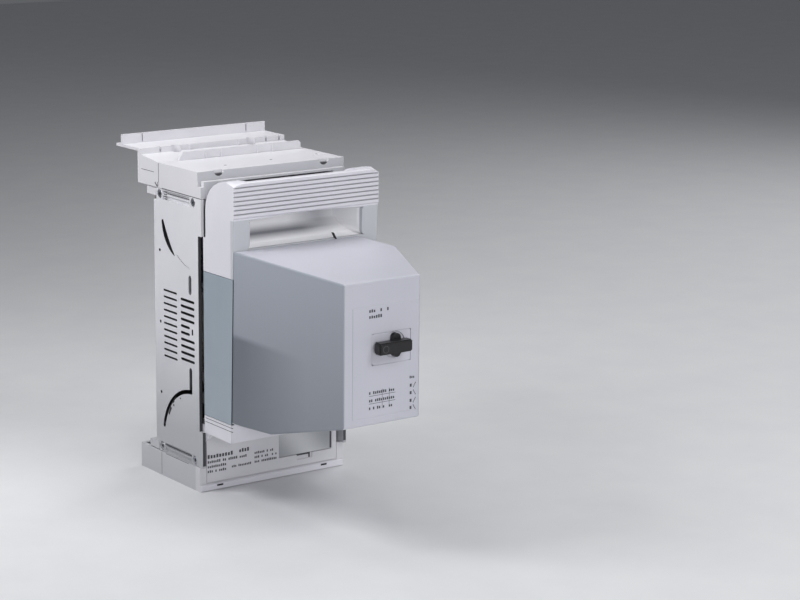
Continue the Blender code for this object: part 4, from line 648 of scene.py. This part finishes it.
# %% Print on the terminal panel
PANEL_ROWS = [
    (5.6, 24.4, 20.2, 2.6, 0.95),
    (28.4, 36.6, 20.8, 2.4, 0.95),
    (5.6, 37.5, 17.2, 1.7, 0.86),
    (5.6, 19.6, 14.2, 1.7, 0.9),
    (5.6, 19.6, 11.2, 1.7, 0.9),
    (23.0, 38.4, 12.0, 1.5, 0.8),
    (39.6, 57.0, 17.9, 1.6, 0.82),
    (39.6, 57.0, 15.1, 1.6, 0.82),
    (39.6, 57.0, 12.2, 1.6, 0.82),
]
panel_print = [word_row(*row) for row in PANEL_ROWS]
printed("print_ratings", panel_print, PANEL_FACE, "chassis")
print("rows on the panel:", len(PANEL_ROWS))

# %% [markdown]
# ## Dark sheets of painted shade behind the louvres
#
# Behind each side plate lies a thin black sheet that stands for the shade inside the device: painted
# shade that makes every louvre and slot look black from outside. The sheet is a closed block worked
# out by the same corner rule as the print, and it ends above the lower guide slot, so that the lid's
# arm can pass.

# %% Sheets of painted shade
SHADE_SHEET = 0.15
SHADE_SHEET_GAP = 0.06
SHADE_SHEET_BACK, SHADE_SHEET_UP = (2.5, 44.5), (67.0, 176.0)
PLATE_WALL = 2.0
DEVICE_WIDTH = reading("right_side_plate")[1][0]
SHADE_SHEET_PLACES = [
    ("left_liner", PLATE_WALL + SHADE_SHEET_GAP),
    ("right_liner", DEVICE_WIDTH - PLATE_WALL - SHADE_SHEET_GAP - SHADE_SHEET),
]
# painted shade: thin black sheets behind the plates make the openings look black
for name, across in SHADE_SHEET_PLACES:
    points, faces = blocks(
        at(across, SHADE_SHEET_BACK[0], SHADE_SHEET_UP[0]), at(across + SHADE_SHEET, SHADE_SHEET_BACK[1], SHADE_SHEET_UP[1])
    )
    mesh_object(name, points, faces, FIBRE_AND_SHADE, "chassis", smooth=False)
print("liners:", SHADE_SHEET, "mm thick")

# %% [markdown]
# ## Lines, seams and vents on the sides
#
# Between the two screws of each end runs a clamping bar, and its shadow is painted as a thin dark
# line. A small vent sits beside the rear screw, and seams part the covers; the vent's slits and the
# seams are painted as dark lines of shade. By the lower guide slot, a few small dark blocks paint the
# shade in small notches. All are thin strips laid on the side: a strip is a line from one reading to
# another, given its width along the line's own normal, and its thickness across the device.

# %% Strips on the sides
STRIP_PROUD, STRIP_SINK = 0.03, 0.3


def strips(lines, outside):
    """Blocks along lines on a side: corner = start or end, +- half a width along the normal."""
    starts, ends, widths = (np.array(column, float) for column in zip(*lines))
    way = ends - starts
    way /= np.linalg.norm(way, axis=1, keepdims=True)
    normal = np.stack([-way[:, 1], way[:, 0]], axis=1) * widths[:, None] / 2
    flat = np.where(CORNER_BITS[None, :, 1, None] == 1, ends[:, None], starts[:, None])
    flat = flat + normal[:, None] * (2 * CORNER_BITS[None, :, 2, None] - 1)
    low, high = (-STRIP_PROUD, STRIP_SINK) if outside == 0 else (outside - STRIP_SINK, outside + STRIP_PROUD)
    across = np.where(CORNER_BITS[:, 0] == 1, high, low)
    return at(across[None], flat[..., 0], flat[..., 1]), block_faces(len(starts))


# painted shadow and shade: dark strips for the clamping bars' shadows and the seams
SIDE_LINES = [
    ((41.0, 182.0), (-3.4, 181.7), 0.45),
    ((34.2, 179.7), (9.2, 179.7), 0.4),
    ((10.0, 20.9), (40.6, 20.9), 0.45),
    ((13.0, 14.9), (40.0, 14.9), 0.3),
    ((50.5, 190.8), (65.6, 190.8), 0.35),
    ((44.9, 185.0), (44.9, 197.0), 0.3),
    ((45.15, 0.6), (45.15, 14.6), 0.4),
    ((46.4, 182.3), (49.4, 184.6), 0.9),
    ((46.2, 182.4), (46.4, 185.2), 0.6),
]
# painted shade: the vent's slits as four dark strips
SIDE_LINES += [((35.6, up), (39.0, up), 0.4) for up in (176.0, 177.4, 178.8, 180.2)]
# painted shade: dark blocks in the small notches by the lower guide slot
SLOT_NOTCH_SHADE = [
    ((21.4, 54.4), (22.6, 54.4), 1.0),
    ((29.3, 48.3), (30.7, 48.3), 1.2),
    ((29.4, 51.6), (31.0, 49.8), 1.4),
    ((33.0, 46.4), (35.9, 41.4), 1.6),
]
# the colour of the dark strips of painted shade and shadow
SHADE_LINE = moulded("painted shade line", "#4A4B50", "#3F4044", 0.6, grain=0.05, edge=0.02)
for kind, lines, finish in (("seams", SIDE_LINES, SHADE_LINE), ("marks", SLOT_NOTCH_SHADE, FIBRE_AND_SHADE)):
    for side, outside in (("left", 0), ("right", DEVICE_WIDTH)):
        points, faces = strips(lines, outside)
        mesh_object(f"{side}_{kind}", points, faces, finish, "chassis", smooth=False)
print("lines on each side:", len(SIDE_LINES), "marks by the lower slot:", len(SLOT_NOTCH_SHADE))

# %% [markdown]
# A faint crease runs from the crescent's lower tip to the upper guide slot, where the mould's core
# follows the lid's path. It is a low ridge: an arc of points, each with a small round section, that
# tapers almost to nothing at its ends.

# %% Round sections along a path
CREASE_FROM, CREASE_TO, CREASE_SAG = (24.6, 143.6), (9.6, 137.4), 1.1
CREASE_POINTS, CREASE_RADIUS, CREASE_DEPTH = 14, 0.32, 0.02
TAPERED_END = 0.05


def tube(path, radius, segments=8):
    """Closed tube: centre + r (cos a normal + sin a binormal), tapered at both ends."""
    way = np.gradient(path, axis=0)
    way /= np.linalg.norm(way, axis=1, keepdims=True)
    side = np.cross(way, [1.0, 0.0, 0.0])
    side /= np.linalg.norm(side, axis=1, keepdims=True)
    other = np.cross(side, way)
    turn = np.linspace(0, 2 * np.pi, segments, endpoint=False)[None, :, None]
    taper = np.full(len(path), 1.0)
    taper[[0, -1]] = TAPERED_END
    round_part = np.cos(turn) * side[:, None] + np.sin(turn) * other[:, None]
    points = path[:, None] + radius * taper[:, None, None] * round_part
    return points.reshape(-1, 3), *capped_faces(len(path), segments)


share = np.linspace(0, 1, CREASE_POINTS)
crease_back = CREASE_FROM[0] + (CREASE_TO[0] - CREASE_FROM[0]) * share
crease_up = CREASE_FROM[1] + (CREASE_TO[1] - CREASE_FROM[1]) * share - CREASE_SAG * np.sin(np.pi * share)
for name, across in (("left_crease", -CREASE_DEPTH), ("right_crease", DEVICE_WIDTH + CREASE_DEPTH)):
    points, faces, caps = tube(at(across, crease_back, crease_up), CREASE_RADIUS * MM)
    mesh_object(name, points, faces, PLATE, "chassis", caps=caps)
print("crease from", CREASE_FROM, "to", CREASE_TO)

# %% [markdown]
# ## Test holes and sockets
#
# Three small test holes sit in the top of the terminal cover, each in a moulded collar, and a fourth
# is near the left edge. The collar is a ring: a small circle carried round a larger one. The shade in
# the hole is painted as a dark disc with a rounded rim, a profile turned round its axis and capped at
# its poles.

# %% Collars and holes
BOX_TOP = 197.3
TEST_HOLES = [(27.6, 12.7), (61.8, 14.7), (97.5, 17.7), (9.9, 52.9)]
COLLAR_RADIUS, COLLAR_THICK = 1.5, 0.3
PIT_RADIUS, PIT_RISE = 1.05, 0.34
NEAR_POLE = 0.02


def collar(centre, radius, thick, around=36, section=10):
    """Ring: ((R + r cos b) cos a, (R + r cos b) sin a, r sin b) about a centre, for angles a and b."""
    a, b = np.meshgrid(
        np.linspace(0, 2 * np.pi, around, endpoint=False),
        np.linspace(0, 2 * np.pi, section, endpoint=False),
        indexing="ij",
    )
    out = radius + thick * np.cos(b)
    points = np.stack([out * np.cos(a), out * np.sin(a), thick * np.sin(b)], axis=-1)
    return points.reshape(-1, 3) + centre, ring_faces(around, section)


def disc_points(centre, radius, rise, around=24, rows=8):
    """Flat lens: r = R sin t, height = rise cos t, with t from pole to pole."""
    t = np.linspace(NEAR_POLE, np.pi - NEAR_POLE, rows)[:, None]
    a = np.linspace(0, 2 * np.pi, around, endpoint=False)[None]
    out = radius * np.sin(t)
    points = np.stack([out * np.cos(a), out * np.sin(a), rise * np.cos(t) + 0 * a], axis=-1)
    return points.reshape(-1, 3) + centre, *capped_faces(rows, around)


def joined(parts):
    """Puts shapes in one: the numbers in a part's faces and caps move up by the points before it."""
    before = np.cumsum([0] + [len(part[0]) for part in parts])
    return [
        np.concatenate([array + (count if kind else 0) for array, count in zip(arrays, before)])
        for kind, arrays in enumerate(zip(*parts))
    ]


centres = [(across, back, BOX_TOP) for across, back in TEST_HOLES]
points, faces = joined([collar(centre, COLLAR_RADIUS, COLLAR_THICK) for centre in centres])
mesh_object("test_collars", at(*points.T), faces, CHASSIS, "chassis")
# painted shade: a dark disc in each test hole
points, faces, caps = joined([disc_points(centre, PIT_RADIUS, PIT_RISE) for centre in centres])
mesh_object("test_hole_shades", at(*points.T), faces, FIBRE_AND_SHADE, "chassis", caps=caps)
print("test holes:", len(TEST_HOLES))

# %% [markdown]
# ## The film on the housing's front
#
# A printed film is glued over the front of the housing, with an opening for the knob. On the real
# one its outline hardly shows. The film is a frame: a flat rounded profile between the opening and
# the outer edge, carried round four corners, and it stands 0.1 mm proud. It takes the place of the
# plain film solid and covers the gap round the breaker.

# %% Film with an opening
FILM_EDGE, FILM_ROOT, FILM_MARGIN = 0.25, 0.3, 0.5
KNOB_OPENING = [[21.0, 107.2], [47.6, 125.2]]


def frame_film(outer, inner, face):
    """Frame: at each corner the profile runs outer back, outer front, inner front, inner back."""
    corner = np.array([[0, 0], [1, 0], [1, 1], [0, 1]])
    wide, tight = (np.array(box)[corner, [0, 1]] for box in (outer, inner))
    step = (tight - wide) / np.linalg.norm(tight - wide, axis=1, keepdims=True) * FILM_EDGE
    outlines = np.stack([wide, wide, wide + step, tight - step, tight, tight])
    depths = face + np.array([FILM_ROOT, 0.0, -FILM_PROUD, -FILM_PROUD, 0.0, FILM_ROOT])[:, None]
    points = np.stack(np.broadcast_arrays(outlines[..., 0], depths, outlines[..., 1]), axis=-1)
    return points.reshape(-1, 3), ring_faces(len(outlines), len(corner))


film_low, film_high = reading("monitor_label")
film_outer = [film_low[[0, 2]] - FILM_MARGIN, film_high[[0, 2]] + FILM_MARGIN]
points, faces = frame_film(film_outer, KNOB_OPENING, film_low[1])
film = mesh_object("front_film", at(*points.T), faces, HOUSING, "lid", smooth=False)
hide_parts("monitor_label")
print("film in mm:", (film_outer[1] - film_outer[0]).round(1).tolist())

# %% [markdown]
# Inside the opening lies a shallow surround with a round hole, where the knob's tab turns. It is a
# sheet between a circle and a rectangle: along each direction from the knob's axis the inner edge is
# at the circle's radius, and the outer edge is where that direction meets the rectangle.

# %% Surround of the knob
KNOB_AXIS = (36.4, 117.6)
SURROUND_HOLE, SURROUND_RIM = 7.4, 0.2
SURROUND_FRONT, SURROUND_BACK = 0.25, 0.75


def surround(box, axis, hole, front, back, around=64):
    """Sheet from circle to rectangle: outer distance = the smaller of side/|cos a| and side/|sin a|."""
    a = np.linspace(0, 2 * np.pi, around, endpoint=False) + np.pi / around
    cos, sin = np.cos(a), np.sin(a)
    reach_x = np.where(cos > 0, box[1][0] - axis[0], axis[0] - box[0][0]) / np.abs(cos)
    reach_z = np.where(sin > 0, box[1][1] - axis[1], axis[1] - box[0][1]) / np.abs(sin)
    outer = np.minimum(reach_x, reach_z)
    inner = np.full(around, hole)
    radii = np.stack([inner, inner + SURROUND_RIM, outer, outer, inner], axis=1)
    depth = np.broadcast_to([front + SURROUND_RIM, front, front, back, back], radii.shape)
    points = np.stack([axis[0] + radii * cos[:, None], depth, axis[1] + radii * sin[:, None]], axis=-1)
    return points.reshape(-1, 3), ring_faces(around, radii.shape[1])


surround_depths = (LABEL_FACE + SURROUND_FRONT, LABEL_FACE + SURROUND_BACK)
points, faces = surround(KNOB_OPENING, KNOB_AXIS, SURROUND_HOLE, *surround_depths)
mesh_object("knob_surround", at(*points.T), faces, HOUSING, "lid", smooth=False)
print("hole in the surround:", 2 * SURROUND_HOLE, "mm across")

# %% [markdown]
# The switching diagram is a column of four contacts, each a dark square with a slanted stroke beside
# it, under a short heading. The knob carries one small ring as its pointer.

# %% Switching diagram and pointer ring
DIAGRAM = [(91.5, "rises"), (87.2, "falls"), (82.7, "rises"), (78.6, "falls")]
CONTACT_LEFT, CONTACT_RIGHT, CONTACT_TALL = 47.4, 48.7, 1.8
STROKE_LEFT, STROKE_WIDE, STROKE_TALL, STROKE_DROP = 49.7, 1.8, 3.0, 0.6
STROKE_STEP = (0.45, 0.0, 0.8)
POINTER_PLACE, POINTER_RADIUS, POINTER_THICK = (25.4, 117.4), 1.9, 0.22
POINTER_PROUD, POINTER_FLAT = 0.02, 0.4

diagram = [rule(CONTACT_LEFT, CONTACT_RIGHT, up, up + CONTACT_TALL) for up, _ in DIAGRAM]
steps = np.linspace(0, 1, 5)[:-1]
for up, lean in DIAGRAM:
    rise = steps if lean == "rises" else steps[-1] - steps
    stroke_up = up - STROKE_DROP + STROKE_TALL * rise
    low = np.stack([STROKE_LEFT + STROKE_WIDE * steps, 0 * steps, stroke_up], axis=1)
    diagram.append((low, low + STROKE_STEP))
diagram.append(word_row(47.2, 51.8, 96.4, 1.5, 1.0))
printed("print_diagram", diagram, LABEL_FACE, "lid")

POINTER = moulded("dark grey printing ink", "#46474B", "#3C3D41", 0.45, grain=0.02, edge=0.02)
knob_face = reading("breaker_knob")[0][1]
ring, ring_sides = collar((0.0, 0.0, 0.0), POINTER_RADIUS, POINTER_THICK, around=28, section=8)
pointer_depth = knob_face - POINTER_PROUD - POINTER_FLAT * ring[:, 2]
pointer = at(POINTER_PLACE[0] + ring[:, 0], pointer_depth, POINTER_PLACE[1] + ring[:, 1])
mesh_object("knob_pointer", pointer, ring_sides, POINTER, "knob")
print("contacts in the diagram:", len(DIAGRAM))

# %% [markdown]
# ## Small dark details of the lid and the panel
#
# Two fine grooves run under each window, drawn as thin dark strips of painted shade, dark spring
# clips bridge the gap behind the lid, and a small catch looks out of the grip recess. The label
# film's right edge and its finger tab get dark strips of painted shadow. The clips and the catch are
# blocks with a bevel, so that their edges catch the light. The catch also leans: each of its points
# moves sideways by its depth below the top, times the lean.

# %% Grooves, clips and the shaded edge
LID_SIDE = reading("left_sight_window")[0][0]
GROOVE_LINES = [((-5.0, up), (-35.5, up), 0.35) for up in (48.2, 45.9)]
CLIP_UP = [(127.8, 130.8), (70.0, 76.4), (56.3, 63.2), (43.5, 46.5)]
CLIP_ACROSS, CLIP_BACK = (1.3, 2.9), (-4.6, -1.0)
CATCH_LOW, CATCH_HIGH, CATCH_LEAN = (71.4, -37.6, 154.6), (72.6, -36.0, 159.4), 0.55
ROUNDING = 0.3
SHADE_DEPTH = 0.95


def rounded_block(name, points, faces):
    """A dark fibre piece of the lid, with all its edges rounded by a bevel of two segments."""
    thing = mesh_object(name, points, faces, FIBRE_AND_SHADE, "lid", smooth=False)
    bevel = thing.modifiers.new("rounded", "BEVEL")
    bevel.width, bevel.segments = ROUNDING * MM, 2


# painted shade: the two grooves under each window as dark strips
for name, outside, inset in (("left_grooves", 0, LID_SIDE), ("right_grooves", DEVICE_WIDTH, -LID_SIDE)):
    points, faces = strips(GROOVE_LINES, outside)
    mesh_object(name, points + np.array([inset * MM, 0, 0]), faces, SHADE_LINE, "lid", smooth=False)

clip_low, clip_high = np.array(CLIP_UP).T
mirrored = (DEVICE_WIDTH - CLIP_ACROSS[1], DEVICE_WIDTH - CLIP_ACROSS[0])
for name, across in (("left_clips", CLIP_ACROSS), ("right_clips", mirrored)):
    low, high = at(across[0], CLIP_BACK[0], clip_low), at(across[1], CLIP_BACK[1], clip_high)
    rounded_block(name, *blocks(low, high))

points, faces = blocks(at(*CATCH_LOW), at(*CATCH_HIGH))
points = points.reshape(-1, 3)
points[:, 0] += (CATCH_HIGH[2] * MM - points[:, 2]) * CATCH_LEAN
rounded_block("grip_catch", points, faces)

# painted shadow: dark strips along the label film's right edge and under its finger tab
shaded_edges = [rule(96.3, 97.2, 13.0, 27.4), rule(71.0, 81.0, 11.6, 12.5), rule(80.2, 80.9, 9.4, 12.0)]
points, faces = stood_out(shaded_edges, PANEL_FACE - INK_RAISE, PANEL_FACE + SHADE_DEPTH)
mesh_object("label_shade", points, faces, SHADE_LINE, "chassis", smooth=False)
print("grooves:", len(GROOVE_LINES), "clips:", len(CLIP_UP))

# %% [markdown]
# ## The lip under the terminal panel
#
# The bottom cover ends in front in a rolled lip that catches the light from above. Its section is a
# quarter round over a flat face, carried straight across the device. Its two small slots for a
# screwdriver are two dark blocks of painted shade.

# %% Rolled lip
LIP_ACROSS, LIP_UP = (0.4, 105.6), (0.4, 4.2)
LIP_RADIUS, LIP_ROOT = 1.1, 0.6
SLOT_SIZE = (4.4, 0.5, 1.1)


def rolled_lip(across, steps=9):
    """Section: from the wall over a quarter circle, (-R sin t, top - R (1 - cos t)), down and back."""
    t = np.linspace(0, np.pi / 2, steps)
    back = np.concatenate([[LIP_ROOT], -LIP_RADIUS * np.sin(t), [-LIP_RADIUS, LIP_ROOT]])
    up = np.concatenate([[LIP_UP[1]], LIP_UP[1] - LIP_RADIUS * (1 - np.cos(t)), [LIP_UP[0], LIP_UP[0]]])
    ends = np.array(across)[:, None]
    grid = np.stack(np.broadcast_arrays(ends, back[None], up[None]), axis=-1)
    return grid.reshape(-1, 3), *capped_faces(2, len(back))


points, faces, caps = rolled_lip(LIP_ACROSS)
mesh_object("front_lip", at(*points.T), faces, LID, "chassis", smooth=False, caps=caps)
# painted shade: two dark blocks in the lip's slots
lip_slot_shades = np.array([[11.6, -1.16, 2.4], [88.6, -1.16, 2.6]])
points, faces = blocks(at(*lip_slot_shades.T), at(*(lip_slot_shades + SLOT_SIZE).T))
mesh_object("lip_slot_shades", points, faces, FIBRE_AND_SHADE, "chassis", smooth=False)
print("lip:", LIP_ACROSS[1] - LIP_ACROSS[0], "mm long, slots:", len(lip_slot_shades))

# %% [markdown]
# ## Floor
#
# A plain pale floor shows how the device stands. It is one flat sheet, wide enough to run out of the
# picture on all sides, with the soft look of studio paper.

# %% Floor
FLOOR_REACH = 3.0
floor_signs = np.array([[-1, -1, 0], [1, -1, 0], [1, 1, 0], [-1, 1, 0]])
floor_mesh = bpy.data.meshes.new("studio_floor")
floor_mesh.from_pydata((floor_signs * FLOOR_REACH).tolist(), [], [(0, 1, 2, 3)])
floor = bpy.data.objects.new("studio_floor", floor_mesh)
bpy.context.scene.collection.objects.link(floor)
FLOOR_FINISH = moulded("pale studio paper", "#D9DADC", "#D5D6D9", 0.6, grain=0.02, edge=0.0)
floor_mesh.materials.append(FLOOR_FINISH)
print("floor:", 2 * FLOOR_REACH, "m wide")

# %% [markdown]
# ## Light
#
# The strongest light falls on the front from two soft boxes, one high on the right and one low on
# the left. A small box close to the left side brightens the side plate, and two more, above and
# behind on the right, keep the covers' tops and the back readable. The Standard view keeps the greys as they were
# matched, where a filmic view would darken them.

# %% Lights
MIDDLE = (0.0, 0.0, 0.1)
LIGHTS = [
    # name, place in metres, side of the square in metres, watts
    ("top_box", (0.0, 0.15, 0.8), 0.5, 1.6),
    ("left_box", (-0.34, 0.08, 0.46), 0.2, 1.5),
    ("front_left_box", (-0.6, -1.6, 0.42), 0.6, 10.0),
    ("front_box", (0.35, -1.05, 1.1), 0.7, 8.5),
    ("back_box", (1.2, 0.3, 0.9), 0.8, 6.0),
]
AIR_COLOUR, AIR_STRENGTH = "#DDE0E6", 0.16


def soft_box(name, place, size, watts):
    """A square area light at a place, turned so that its -Z axis points at the device's middle."""
    light = bpy.data.lights.new(name, "AREA")
    light.size = size
    light.energy = watts
    lamp = bpy.data.objects.new(name, light)
    lamp.location = place
    lamp.rotation_euler = (Vector(MIDDLE) - Vector(place)).to_track_quat("-Z", "Y").to_euler()
    bpy.context.scene.collection.objects.link(lamp)


for row in LIGHTS:
    soft_box(*row)

world = bpy.data.worlds.new("studio_air")
world.use_nodes = True
air = world.node_tree.nodes["Background"]
air.inputs["Color"].default_value = linear(AIR_COLOUR)
air.inputs["Strength"].default_value = AIR_STRENGTH
bpy.context.scene.world = world
bpy.context.scene.view_settings.view_transform = "Standard"
print("soft boxes:", len(LIGHTS), "watts in all:", sum(row[-1] for row in LIGHTS))

# %% [markdown]
# ## Camera
#
# The camera stands where a viewer of the product picture would stand: left of the front and a little
# above, with a long lens, so that upright edges stay nearly parallel. The small shift sets the
# device left of the middle, without turning the camera.

# %% Camera
EYE = (-0.7684, CHASSIS_FRONT - 1.1633, 0.4216)
PITCH, TURN = 12.46, 33.96
LENS, SENSOR, SHIFT_X, CLIP_START = 105.1, 36.0, 0.134, 0.05
lens = bpy.data.cameras.new("product_view")
lens.sensor_width, lens.lens = SENSOR, LENS
lens.shift_x, lens.clip_start = SHIFT_X, CLIP_START
camera = bpy.data.objects.new("product_view", lens)
camera.location = EYE
camera.rotation_euler = (math.radians(90 - PITCH), 0.0, math.radians(-TURN))
bpy.context.scene.collection.objects.link(camera)
bpy.context.scene.camera = camera
print("camera:", LENS, "mm lens,", PITCH, "degrees down")
